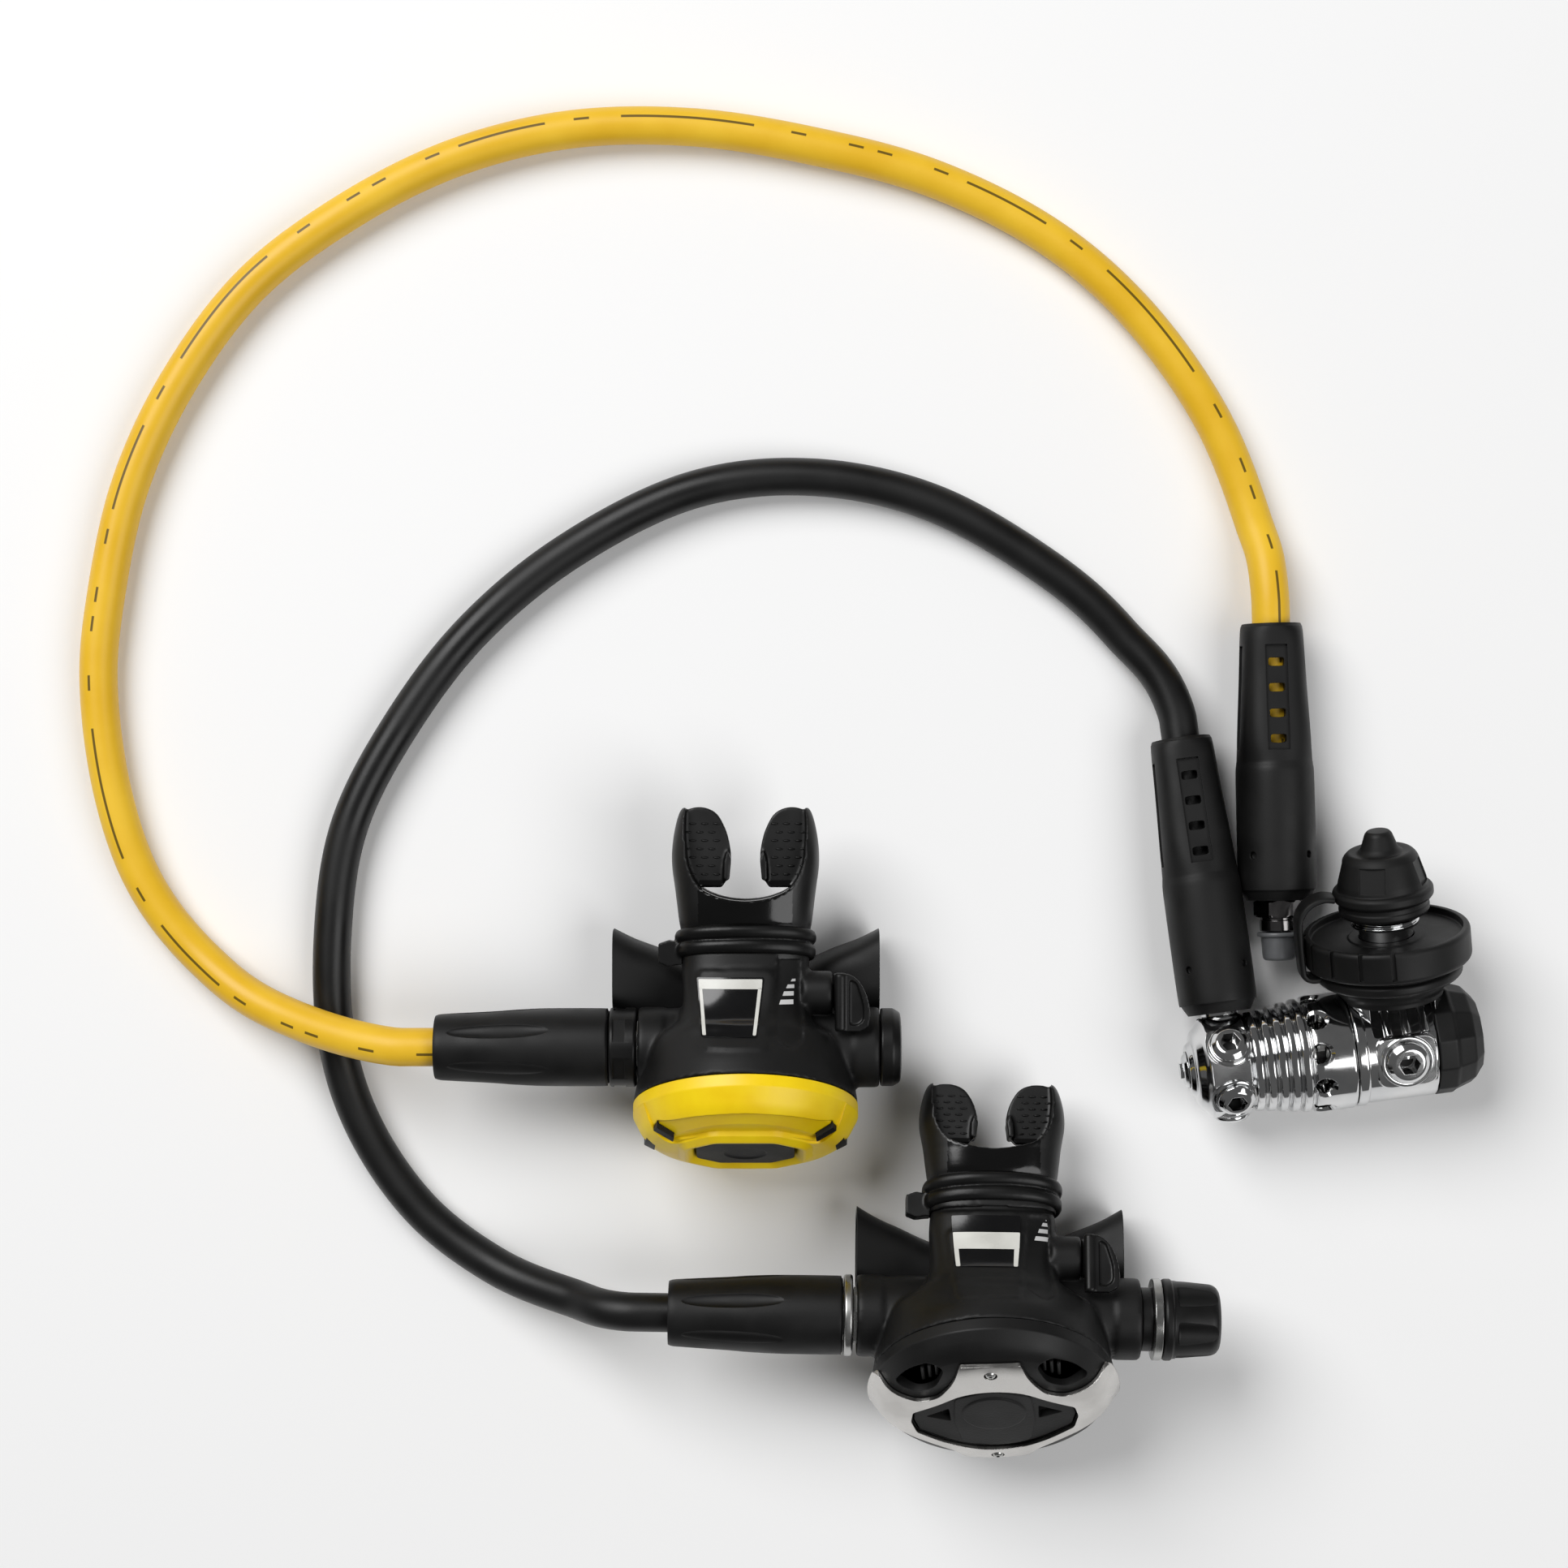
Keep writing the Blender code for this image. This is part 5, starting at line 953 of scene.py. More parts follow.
wheel = {"outline": [(9.3, 30.0), (26.8, 30.0, 0.4), (27.6, 30.8, 0.5), (27.8, 31.6, 0.3),
                     (27.8, 39.9, 0.6), (27.2, 41.0, 0.6), (25.5, 41.0, 0.4),
                     (25.4, 40.4, 0.3), (25.2, 38.6, 0.5), (13.0, 38.4, 0.6),
                     (12.6, 38.8, 0.2), (9.3, 38.8, 0.1)],
         "grooves": 10, "step": 22.5, "first": 60, "wide": 1.5, "deep": 1.1}
piece = asObject("grip_wheel", turned(wheel["outline"], 144))
groove = raised([(27.8 - wheel["deep"], -wheel["wide"] / 2), (30, -wheel["wide"] / 2, 0),
                 (30, wheel["wide"] / 2, 0), (27.8 - wheel["deep"], wheel["wide"] / 2)],
                31.6, 42.0, 0.3)
grooves = roundRow("grooves", groove, wheel["grooves"], wheel["step"], wheel["first"],
                   smoothNylon)
combine(piece, asMesh(grooves))
finished(piece, "handwheel", "black_plastic", caseNylon, ["handwheel"], 35, stageFrame @ toY)

threadCap = {"outline": [(11.9, 47.0, 0.2), (14.5, 47.0, 0.4), (15.1, 48.0, 0.4),
                         (15.1, 49.6, 0.2), (14.8, 49.9, 0.2), (14.8, 51.6, 0.3),
                         (16.0, 52.0, 0.4), (16.75, 52.9, 0.4), (16.75, 55.1, 0.5),
                         (15.9, 56.0, 0.4), (15.0, 56.2, 0.4), (14.7, 58.4, 0.6),
                         (12.4, 66.6, 1.2), (10.6, 68.4, 0.8), (7.6, 68.0, 0.6),
                         (6.3, 69.2, 0.8), (4.5, 74.4, 0.6), (3.6, 75.3, 0.4), (0, 75.3),
                         (0, 62.8), (11.9, 62.8)],
             "panels": 4, "panelWide": 8.6, "panelTurn": 245}
piece = asObject("thread_cover", turned(threadCap["outline"], 96))
panelCut = block((0, -threadCap["panelWide"] / 2, 0), (6, threadCap["panelWide"] / 2, 8.6))
panelCut.transform(move(13.85, 0, 57.2) @ spin(-15.5, "Y"))
cuts = roundRow("cuts", panelCut, threadCap["panels"], 90, threadCap["panelTurn"], sleeveRubber)
combine(piece, asMesh(cuts))
finished(piece, "din_cap", "black_rubber", sleeveRubber, ["din_cap"], 35, stageFrame @ toY)
print("first stage made")


# second stages: the barrel's axis is X, the mouth looks along Y, the table is under -Z
primary = {"name": "primary", "body": "primary_stage", "at": primaryFrame, "radius": 40.0,
           "rimY": -23.0, "rimZ": 4.5, "collars": (-45.2, 49.0),
           "collar": 13.5, "face": 9.2}
octopus = {"name": "octopus", "body": "octopus_stage", "at": octopusFrame, "radius": 37.5,
           "rimY": -22.0, "rimZ": 4.0, "collars": (-35.8, 44.6),
           "collar": 13.4, "face": 12.0}
coverTilt, primaryTurn = 22.0, 6.0   # the covers lean; the primary's face is turned a little
caseShape = {   # sections from the rim to the mouth tube: y, z, lean, shoulder and height
    "sections": [(-2.6, 1.0, 17.0, -3.6, 29.0, 2.1), (2.6, 1.2, 14.0, 30.0, 26.0, 2.3),
                 (7.2, 1.7, 11.0, 23.4, 22.0, 3.0), (13.0, 2.6, 7.0, 21.2, 18.0, 3.3),
                 (19.0, 3.4, 4.0, 20.8, 14.8, 3.3), (27.0, 4.0, 0.0, 21.2, 12.2, 2.8),
                 (33.0, 4.0, 0.0, 20.8, 11.2, 2.5)],
    "wall": 2.2, "ledge": 2.8, "voxel": 0.75, "rounds": 3}
mouth = {"wide": 20.4, "high": 10.2, "z": 4.0, "end": 41.0, "wall": 2.0, "power": 2.3,
         "slope": 0.22, "shift": {"primary": 4.6, "octopus": 0.0},
         "squeeze": {"primary": 0.76, "octopus": 1.0}}
diveAt, diveFace = (0.0, 19.0, 8.0), 29.0
exhaustFrame = move(y=4.0, z=-10.0) @ spin(180 + 28.5, "X")


def coverFrame(stage):
    return move(y=stage["rimY"], z=stage["rimZ"]) @ spin(90 - coverTilt, "X")


def caseRings(stage, grow):
    r, y, z = stage["radius"], stage["rimY"], stage["rimZ"]
    out = (-math.cos(math.radians(coverTilt)), math.sin(math.radians(coverTilt)))
    rows = [[y - out[0] * 3, z - out[1] * 3, coverTilt, r, r, 2.0],
            [y - out[0] * 10, z - out[1] * 10, coverTilt, r - 1.2, r - 1.2, 2.0]]
    rows += [[a, b, lean, r + wide if wide < 0 else wide, high, power]
             for a, b, lean, wide, high, power in caseShape["sections"]]
    rings = []
    for a, b, lean, wide, high, power in eased(rows, 5):
        lean = math.radians(lean)
        rings.append(oval((0, a, b), (1, 0, 0), (0, math.sin(lean), math.cos(lean)),
                          wide + grow, high + grow, power, 96))
    return rings


def mouthRing(y, grow, slope=0.0):
    # a slope leans the ring so that it shows as an arch from above
    return oval((0, y, mouth["z"]), (1, 0, 0), (0, slope, 1), mouth["wide"] + grow,
                mouth["high"] + grow, mouth["power"], 96)


def makeCase(stage):
    name = stage["name"]
    cover = coverFrame(stage)
    up = cover.to_3x3() @ Vector((0, 1, 0))
    piece = asObject(name + "_housing", lofted(caseRings(stage, 0.0)))
    for outer in stage["collars"]:
        r, end = stage["collar"], math.copysign(1.0, outer)
        rows = [(0, outer), (r - 0.6, outer), (r, outer - end * 0.6), (r, outer - end * 8.5),
                (r - 0.5, outer - end * 9.0), (r - 0.2, outer - end * 15),
                (r - 0.2, -end * 2), (0, -end * 2)]
        join(piece, turned([(a, b, 0.25) for a, b in rows], 96), toX)
    join(piece, turned([(0, 14), (7.0, 14), (7.0, diveFace - 0.6), (6.6, diveFace),
                           (0, diveFace)], 64, 0.3), move(*diveAt) @ toX)
    join(piece, rod(13.2, 2, 11.6, 80, 0.3),
            exhaustFrame)
    join(piece, lofted([mouthRing(20, 0), mouthRing(mouth["end"], 0)]))
    # plateau that the label lies on, with a step at each side
    deck = [(-13.2, 2.0), (-15.8, 26.5), (9.8, 26.5), (7.2, 2.0)]
    skin = asObject("deck", raised(deck, 0, 40, 2.0))
    combine(skin, lofted(caseRings(stage, 0.8)), None, "INTERSECT")
    join(piece, asMesh(skin))
    flank = asObject("flank", raised([(10.8, 32.4), (18.4, 32.4), (19.6, 4), (15.0, 1.5),
                                      (9.4, 6)], 0, 40, 1.5))
    combine(flank, lofted(caseRings(stage, -0.9)))
    combine(piece, asMesh(flank))
    inner = caseRings(stage, -caseShape["wall"])
    wide = stage["radius"] - caseShape["wall"]
    front = [oval(cover @ spot(0, 0, z) / mm, (1, 0, 0), up, w, w, 2.0, 96)
             for z, w in ((1, wide), (-5.9, wide), (-5.9, wide - caseShape["ledge"]),
                          (-10, wide - caseShape["ledge"]))]
    combine(piece, lofted(front + inner[10:31]
                          + [mouthRing(24, -mouth["wall"]), mouthRing(45, -mouth["wall"])]))
    combine(piece, rod(9.8, -60, 60, 64), toX)
    combine(piece, rod(10.8, -6, 13, 72), exhaustFrame)
    softSkin(piece, caseShape["voxel"], caseShape["rounds"])
    return finished(piece, stage["body"], "black_plastic", caseNylon, [name + "_case"], 45,
                    stage["at"])


def onSkin(stage, outline, low, high, corner):
    # a thin plate of this outline that follows the top of the housing
    plate = asObject("plate", raised(outline, 0, 40, corner))
    combine(plate, lofted(caseRings(stage, high)), None, "INTERSECT")
    combine(plate, lofted(caseRings(stage, low)))
    return asMesh(plate)


label = {   # outlines in the stage's frame, seen from above
    "primary": {"plate": [(-13.7, 13.6), (-14.3, 31.4), (8.6, 31.4), (7.6, 13.6)],
                "lines": [[(-13.9, 25.6), (8.3, 25.6), (7.9, 19.8), (-13.6, 19.8)],
                          [(-13.6, 20.0), (-12.1, 20.0), (-11.7, 13.6), (-13.1, 13.6)],
                          [(7.9, 20.0), (6.2, 20.0), (5.7, 13.6), (7.1, 13.6)]],
                "bars": [(13.2, 18.3, 24.2, 1.5), (14.5, 18.4, 26.9, 1.4),
                         (15.8, 18.5, 29.2, 1.2), (17.2, 18.8, 31.0, 0.8)]},
    "octopus": {"plate": [(-14.2, 5.6), (-16.0, 24.4), (6.3, 24.4), (4.0, 5.6)],
                "lines": [[(-15.4, 23.8), (5.7, 23.8), (5.5, 20.6), (-15.2, 20.6)],
                          [(-15.2, 21.0), (-14.1, 21.0), (-12.6, 6.2), (-13.8, 6.2)],
                          [(5.5, 21.0), (4.3, 21.0), (2.6, 6.2), (3.7, 6.2)]],
                "bars": [(11.2, 15.9, 16.3, 1.5), (12.3, 16.0, 19.0, 1.4),
                         (13.5, 16.2, 21.3, 1.2), (15.0, 16.6, 23.3, 0.8)]}}


def makeLabel(stage):
    name, look = stage["name"], label[stage["name"]]
    slopes = [[(left, y - wide / 2), (left + 0.5, y + wide / 2), (right, y + wide / 2),
               (right, y - wide / 2)] for left, right, y, wide in look["bars"]]
    for part, outlines, skin, slotName, material in (
            ("_label", [look["plate"]], (0.3, 1.1, 0.6), "black_plastic", labelBlack),
            ("_label_lines", look["lines"], (0.5, 1.2, 0.4), "brushed_metal", labelSilver),
            ("_print_bars", slopes, (-1.9, -0.65, 0.1), "black_plastic", printInk)):
        made = gathered(onSkin(stage, outline, *skin) for outline in outlines)
        finished(asObject(name + part, made), stage["body"], slotName, material, (), 35,
                 stage["at"])


def faceProfile(stage, lift):
    r, f = stage["radius"], stage["face"]
    return [(0, f + 0.5 + lift), (r - 11 + lift * 0.2, f + lift, 8.0),
            (r - 4 + lift * 0.6, f * 0.75 + lift * 0.85, 5.0), (r + lift, 1.2, 0.4)]


def sharp(profile):
    return [(p[0], p[1]) for p in profile]


def coverShell(stage):
    r, f = stage["radius"], stage["face"]
    spigot = r - caseShape["wall"] - 0.6
    return turned(faceProfile(stage, 0.0) + [
        (r, -2.7, 0.2), (spigot, -2.7, 0.1), (spigot, -4.3, 0.2), (spigot - 2, -4.3, 0.2),
        (spigot - 2, f * 0.3, 1.0), (r - 12, f - 2.4, 2.0), (0, f - 2.0)], 120)


def bothSides(half):
    # the whole outline from its right half, listed from the top down
    return half + [(-p[0], *p[1:]) for p in reversed(half) if p[0] > 0]


lens = [(0, 16.3, 9), (10, 14.2, 7), (17.5, 8.2, 8), (26.3, 3.2, 1.2), (27.3, -3, 1),
        (25.8, -10.5, 1.2), (16, -19, 8), (8, -23.3, 6), (0, -24.5, 6)]
octagon = [(9, 13), (17, 6.5), (17, -6.5), (9, -13)]   # the octopus's button, right half
trimPlate = {
    "outline": [(0, 31, 8), (9.8, 30.5, 0.8), (12.5, 21, 6), (17.5, 12.5, 8),
                (23.5, 10.5, 7), (31, 13, 6), (37, 16, 1.5), (44, 10, 0.5), (44, -5, 0.5),
                (38.6, -3.5, 0.5), (30.8, -11.8, 6), (21.5, -18.6, 5), (13.4, -25.0, 3),
                (10.4, -31, 1.5), (0, -32, 6)],
    "lift": 1.6, "screws": ((0, 26.0), (0, -28.6))}
pocket = {"outline": [(14.6, 27.4, 3), (18.0, 17.6, 3), (24.0, 14.4, 4), (32.0, 17.0, 3),
                      (26.8, 24.8, 4), (19.5, 29.6, 3)],
          "fins": ((17.4, 25.5), (19.7, 24.0), (22.0, 22.6))}


def makePrimaryFace():
    stage = primary
    where = stage["at"] @ coverFrame(stage) @ spin(primaryTurn, "Z")
    cover = asObject("primary_front", coverShell(stage))
    combine(cover, raised(bothSides(lens), 0, 20, 0.01))
    for side in (-1, 1):
        hollow = raised([(side * p[0], *p[1:]) for p in pocket["outline"]], 3.2, 20, 0.01)
        combine(cover, hollow)
        for x, y in pocket["fins"]:
            fin = raised([(side * (x - 0.6), y - 5), (side * (x + 0.6), y - 5),
                          (side * (x + 0.6), y + 3), (side * (x - 0.6), y + 3)],
                         2.0, 6.6, 0.3, 0.4)
            join(cover, fin)
    finished(cover, stage["body"], "black_plastic", caseNylon, ["primary_cover"], 32, where)

    trim = asObject("primary_trim_plate", raised(bothSides(trimPlate["outline"]), -1, 17, 0.01))
    combine(trim, raised(bothSides([(x + 0.2 * (x > 0), y, r) for x, y, r in lens]), -2, 18,
                         0.01))
    shell = faceProfile(stage, trimPlate["lift"]) + faceProfile(stage, 0.3)[::-1]
    combine(trim, turned([(p[0], p[1], p[2] if len(p) > 2 and p[1] > 2 else 0)
                          for p in shell], 120), None, "INTERSECT")
    for x, y in trimPlate["screws"]:
        combine(trim, rod(2.2, 0, 20, 32), move(x, y))
    finished(trim, stage["body"], "brushed_metal", trimSteel, ["primary_trim"], 24, where)

    for k, (x, y) in enumerate(trimPlate["screws"]):
        reach = math.hypot(x, y)
        inner = stage["radius"] - 11
        seat = stage["face"] + 0.3 - max(0.0, 0.25 * stage["face"] * (reach - inner) / 7)
        head = asObject("trim_screw_%d" % (k + 1), turned([
            (0, -5), (1.0, -5, 0.1), (1.0, 0, 0.1), (1.9, 0, 0.1), (1.9, 0.9, 0.5),
            (1.2, 1.6, 0.5), (0.7, 1.7, 0.1), (0, 1.7)], 32))
        combine(head, stepped([(9, 1.0, 1.1), (9, 3, 1.1)], 36))
        finished(head, stage["body"], "steel", turnedSteel,
                 ["trim_screw_" + ("top", "bottom")[k]], 28, where @ move(x, y, seat))


def makeButton(stage, name, bm, flange, where, extras):
    # the pressed face, its flange behind the cover and its stem
    piece = asObject(name, bm)
    join(piece, flange)
    join(piece, turned([(0, -3.9), (5.0, -3.9, 0.3), (5.0, stage["face"] - 4.5, 0.3),
                           (0, stage["face"] - 4.5)], 48), None)
    for shape, operation in extras:
        combine(piece, shape, None, operation)
    return finished(piece, stage["name"] + "_purge", "black_plastic", gripRubber,
                    [stage["name"] + "_purge_button"], 30, where)


def makeButtons():
    f = primary["face"]
    where = primary["at"] @ coverFrame(primary) @ spin(primaryTurn, "Z")
    points = softened(bothSides(lens), 0.01, True, 4)
    face = [tuple(p) for p in inward(points, 0.6)]
    wide = [tuple(p) for p in inward(points, -1.9)]
    extras = [(raised(bothSides([(0, 14.6, 3), (12.4, 10.4, 2), (13.4, -4, 4),
                                 (11.2, -19.6, 2), (0, -22.6, 3)]), f - 2, f + 1.0, 0.01, 0.5),
               "UNION"),
              (turned([(0, f - 2), (10.6, f - 2), (10.6, f + 1.2, 0.3), (10.0, f + 1.5, 0.3),
                       (0, f + 1.6)], 96), "UNION")]
    for side in (-1, 1):
        extras.append((raised([(side * 22.6, -1.6), (side * 14.6, 3.2), (side * 14.4, -5.4)],
                              f - 2.4, f + 4, 0.9), "DIFFERENCE"))
    makeButton(primary, "primary_purge_face", raised(face, f - 5, f + 0.4, 0.0, 0.6),
               raised(wide, f - 5.6, f - 4.0), where, extras)

    f = octopus["face"]
    where = octopus["at"] @ coverFrame(octopus)
    points = [Vector(p) for p in bothSides(octagon)]
    face = [tuple(p) for p in inward(points, 0.6)]
    wide = [tuple(p) for p in inward(points, -1.9)]
    dish = turned([(0, f + 0.75), (6.5, f + 1.0), (7.4, f + 1.6), (7.4, f + 4), (0, f + 4)], 64)
    makeButton(octopus, "octopus_purge_face", raised(face, f - 5, f + 1.5, 1.2, 0.7),
               raised(wide, f - 5.6, f - 4.0), where, [(dish, "DIFFERENCE")])


yellowFace = {
    "rim": 5.4, "proud": 2.4,
    "hollow": [(0, 33.2, 14), (16, 29.2, 12), (29.5, 17.8, 2), (24.5, 9.5, 3), (14.5, 15.6, 2),
               (0, 18.4, 2)],
    "arm": [(16, 12.6, 1), (24, 8.6, 3), (31, 15.4, 3), (35.6, 20, 1), (40, 12, 1), (33, 2, 4),
            (24, -3.5, 4), (16, -4, 1)],
    "slots": [[(23.2, 14.6), (28.8, 17.6), (30.0, 14.6), (23.6, 11.6)],
              [(29.8, 3.0), (32.6, 5.6), (33.8, -3.6), (30.4, -5.2)]]}


def makeOctopusFace():
    stage, look = octopus, yellowFace
    f = stage["face"]
    where = stage["at"] @ coverFrame(stage)
    cover = asObject("octopus_front", coverShell(stage))
    # the field above the button lies a little lower than the rim band
    field = asObject("field", raised(bothSides(look["hollow"]), 0, 20, 0.01))
    combine(field, turned(faceProfile(stage, 3.0) + sharp(faceProfile(stage, -1.1)[::-1]), 120),
            None, "INTERSECT")
    combine(cover, asMesh(field))
    for side in (-1, 1):
        arm = asObject("arm", raised([(side * p[0], *p[1:]) for p in look["arm"]], 0, 20, 0.01))
        combine(arm, turned([(0, f + 1.1), (stage["radius"] - 10, f + 0.9, 6),
                             (stage["radius"] - 3.5, f * 0.75 + 0.6, 4),
                             (stage["radius"] + 0.3, 1.2, 0), (stage["radius"] - 1, 1.0, 0),
                             (stage["radius"] - 7, f * 0.75 - 1, 0), (0, f - 1)], 120),
                None, "INTERSECT")
        join(cover, asMesh(arm))
    points = softened(bothSides(octagon), 1.2)
    levels = [(f - 2.0, -look["rim"] - 0.6), (f + 0.8, -look["rim"]),
              (f + look["proud"] - 0.5, -look["rim"] + 1.6),
              (f + look["proud"], -look["rim"] + 2.4), (f + look["proud"], -2.2)]
    rings = [[spot(p.x, p.y, z) for p in inward(points, inset)] for z, inset in levels]
    join(cover, lofted(rings))
    levels = [(0, 0.0), (f - 0.2, 0.0), (f + 1.2, -0.9), (f + look["proud"] + 0.4, -2.6),
              (f + 9, -2.8)]
    rings = [[spot(p.x, p.y, z) for p in inward(points, inset)] for z, inset in levels]
    combine(cover, lofted(rings))
    for side in (-1, 1):
        for k, slot in enumerate(look["slots"]):
            mirrored = [(side * x, y) for x, y in slot]
            combine(cover, raised(mirrored, 0, 20))
            # a black rubber plate in each slot, a little under the face: painted shade for the
            # slot's dark depth, with the black diaphragm lying behind
            slotShade = asObject("slot_gasket_%d" % (2 * k + (side > 0)), raised(mirrored, 0, 20))
            combine(slotShade, turned(sharp(faceProfile(stage, 0.7)
                                         + faceProfile(stage, -1.0)[::-1]), 120),
                    None, "INTERSECT")
            finished(slotShade, stage["body"], "black_rubber", sleeveRubber, (), 30, where)
    finished(cover, stage["body"], "yellow_plastic", yellowAbs, ["octopus_cover"], 26, where)


mouthpiece = {   # rings from the neck to the tips of the lips: y, half width, half height
    "rings": [(28.7, 21.3, 11.1), (39.0, 21.6, 11.4), (42.0, 22.1, 12.2), (52.5, 23.4, 13.4),
              (61.0, 24.5, 14.2), (68.0, 24.3, 14.0), (74.5, 23.2, 12.4), (78.4, 22.0, 10.2),
              (80.0, 20.9, 8.0)],
    "gap": [(-19.6, 90, 0), (-20.2, 72, 3), (-19.4, 61, 4), (-15.5, 53.4, 5), (-8, 50.2, 5),
            (0, 49.2, 6)],
    "bite": [(5.6, 57, 2), (4.6, 64, 3), (6.0, 72, 4), (9.6, 78.8, 3), (15.2, 80.8, 3),
             (21.5, 78.9, 3), (24.0, 72, 3), (23.4, 61, 3), (14, 51, 2), (9.4, 51.4, 2)],
    "plate": 2.1, "voxel": 0.5, "rounds": 3, "rows": 7, "nub": (1.3, 0.4, 0.5)}


def makeMouthpiece(stage):
    m, name = mouthpiece, stage["name"]
    piece = asObject(name + "_bite_piece", lofted([
        oval((0, y, mouth["z"]), (1, 0, 0), (0, 0.12, 1), wide, high, 2.5, 96)
        for y, wide, high in eased([list(row) for row in m["rings"]], 4)]))
    outline = m["gap"] + [(-p[0], *p[1:]) for p in m["gap"][-2::-1]]
    combine(piece, raised(outline, -20, 30, 0.01))
    for way in (-1, 1):
        plate = raised([(way * p[0], *p[1:]) for p in m["bite"]], mouth["z"] - m["plate"],
                       mouth["z"] + m["plate"], 0.01)
        join(piece, plate)
        heel = raised([(way * 5.4, 56.0), (way * 4.8, 63.0), (way * 6.0, 66.0),
                       (way * 7.0, 63.0), (way * 7.4, 56.0)], mouth["z"] - 4.6,
                      mouth["z"] + 4.6, 0.6)
        join(piece, heel)
    combine(piece, lofted([mouthRing(20, 0.4), mouthRing(42, 0.4), mouthRing(43.5, -2.4),
                           mouthRing(53.6, -2.4)]))
    softSkin(piece, m["voxel"], m["rounds"])
    squeeze = mouth["squeeze"][name]
    mark = piece.data.attributes.new("polish", "FLOAT", "POINT")
    for k, vertex in enumerate(piece.data.vertices):
        x, y, z = (v / mm for v in vertex.co)
        inside = abs(x) < 15.6 and 41.5 < y < 56 and z > mouth["z"]
        mark.data[k].value = 1.0 if inside else 0.0
        vertex.co.y = (min(y, 50) + max(y - 50, 0) * squeeze) * mm
    spots = bmesh.new()
    for way in (-1, 1):
        for row in range(m["rows"]):
            for col in range(3):
                x = way * (9.6 + col * 4.0 + 1.6 * (row % 2))
                spots.verts.new(spot(x, 50 + squeeze * (8.0 + row * 2.8),
                                     mouth["z"] + m["plate"]))
    nubs = runTree(asObject("nubs", spots), standNubs, {
        "Long": m["nub"][0] * mm, "Wide": m["nub"][1] * mm, "High": m["nub"][2] * mm,
        "Material": mouthSilicone})
    where = stage["at"] @ move(y=mouth["shift"][name])
    finished(nubs, stage["body"], "silicone", mouthSilicone, (), 60, where)
    nubs.name = name + "_bite_nubs"
    return finished(piece, stage["body"], "silicone", mouthSilicone, [name + "_mouthpiece"],
                    60, where)


def makeTie(stage):
    # a strap with two round ribs, and its ratchet head at the left
    name = stage["name"]
    rows = [(29.6, 1.5), (29.8, 2.2), (30.8, 2.9), (32.4, 3.0), (33.6, 2.6), (34.1, 1.9),
            (34.6, 1.9), (35.1, 2.7), (36.2, 3.2), (37.4, 3.2), (38.6, 2.6), (39.0, 1.6)]
    band = asObject(name + "_tie", lofted([mouthRing(y, g, mouth["slope"]) for y, g in rows]))
    head = raised([(-29.0, 28.6), (-29.0, 34.8), (-25.5, 36.0), (-21.0, 35.0),
                   (-21.0, 28.0), (-26.0, 27.4)], 0.0, 7.6)
    join(band, head)
    combine(band, lofted([mouthRing(20, 0.9), mouthRing(48, 0.9)]))
    softSkin(band, 0.4, 2)
    return finished(band, stage["body"], "black_plastic", smoothNylon,
                    [name + "_mouthpiece_tie"], 60,
                    stage["at"] @ move(y=mouth["shift"][name]))


teeShape = {"half": 45.0, "wall": 1.5, "sections": [
    (45, 25.0, -17.8, 13.8, 12.6, 0), (38, 22.0, -18.5, 13.2, 11.4, 3),
    (30, 19.2, -19.4, 12.9, 10.6, 8), (16, 12.8, -21, 13.8, 9.6, 20),
    (0, 11, -21.6, 15, 9.2, 26)]}


def teeRings(shrink, over):
    half = [list(row) for row in teeShape["sections"]]
    rows = eased([[-x, *rest] for x, *rest in half[:-1]] + half[::-1], 5)
    rings = []
    for x, y, z, wide, high, lean in rows:
        lean = math.radians(lean)
        if abs(x) > teeShape["half"] - 0.01:
            x += math.copysign(over, x)
        rings.append(oval((x, y, z), (0, math.cos(lean), math.sin(lean)),
                          (0, -math.sin(lean), math.cos(lean)), wide - shrink, high - shrink,
                          2.2 + abs(x) / 30, 64))
    return rings


def makeTee(stage):
    name = stage["name"]
    tee = asObject(name + "_tee", lofted(teeRings(0.0, 0.0)))
    combine(tee, lofted(teeRings(teeShape["wall"], 2.0)))
    combine(tee, lofted(caseRings(stage, 0.35)))
    combine(tee, rod(13.7, 2, 14, 64), exhaustFrame)
    finished(bevelled(tee, 0.3, 2, 50), stage["body"], "black_rubber", sleeveRubber,
             [name + "_exhaust_tee"], 38, stage["at"])
    flap = asObject(name + "_flap", turned([
        (0, 11.9), (12.5, 11.9, 0.2), (12.6, 12.5, 0.2), (9, 12.9, 2), (3, 13.2, 1), (0, 13.3)],
        64), exhaustFrame)
    finished(flap, stage["body"], "silicone", mouthSilicone, [name + "_exhaust_valve"], 40,
             stage["at"])
    bore = stage["radius"] - caseShape["wall"] - 0.7
    skin = asObject(name + "_membrane", turned([
        (15.6, -5.4, 0.1), (19, -5.5, 1), (22, -7.6, 1.5), (27, -7.8, 1.5), (30, -5.7, 1),
        (bore - 0.8, -5.6, 0.2), (bore - 0.8, -4.6, 0.2), (29.6, -4.7, 1), (26.6, -6.8, 1.5),
        (22.4, -6.6, 1.5), (19.4, -4.5, 1), (15.6, -4.4, 0.1)], 96), coverFrame(stage))
    finished(skin, stage["body"], "black_rubber", sleeveRubber, [name + "_diaphragm"], 40,
             stage["at"])


dive = {"root": 29.7, "reach": 41.3, "back": 6.6, "front": 25.4, "low": 13.6, "thick": 3.2}


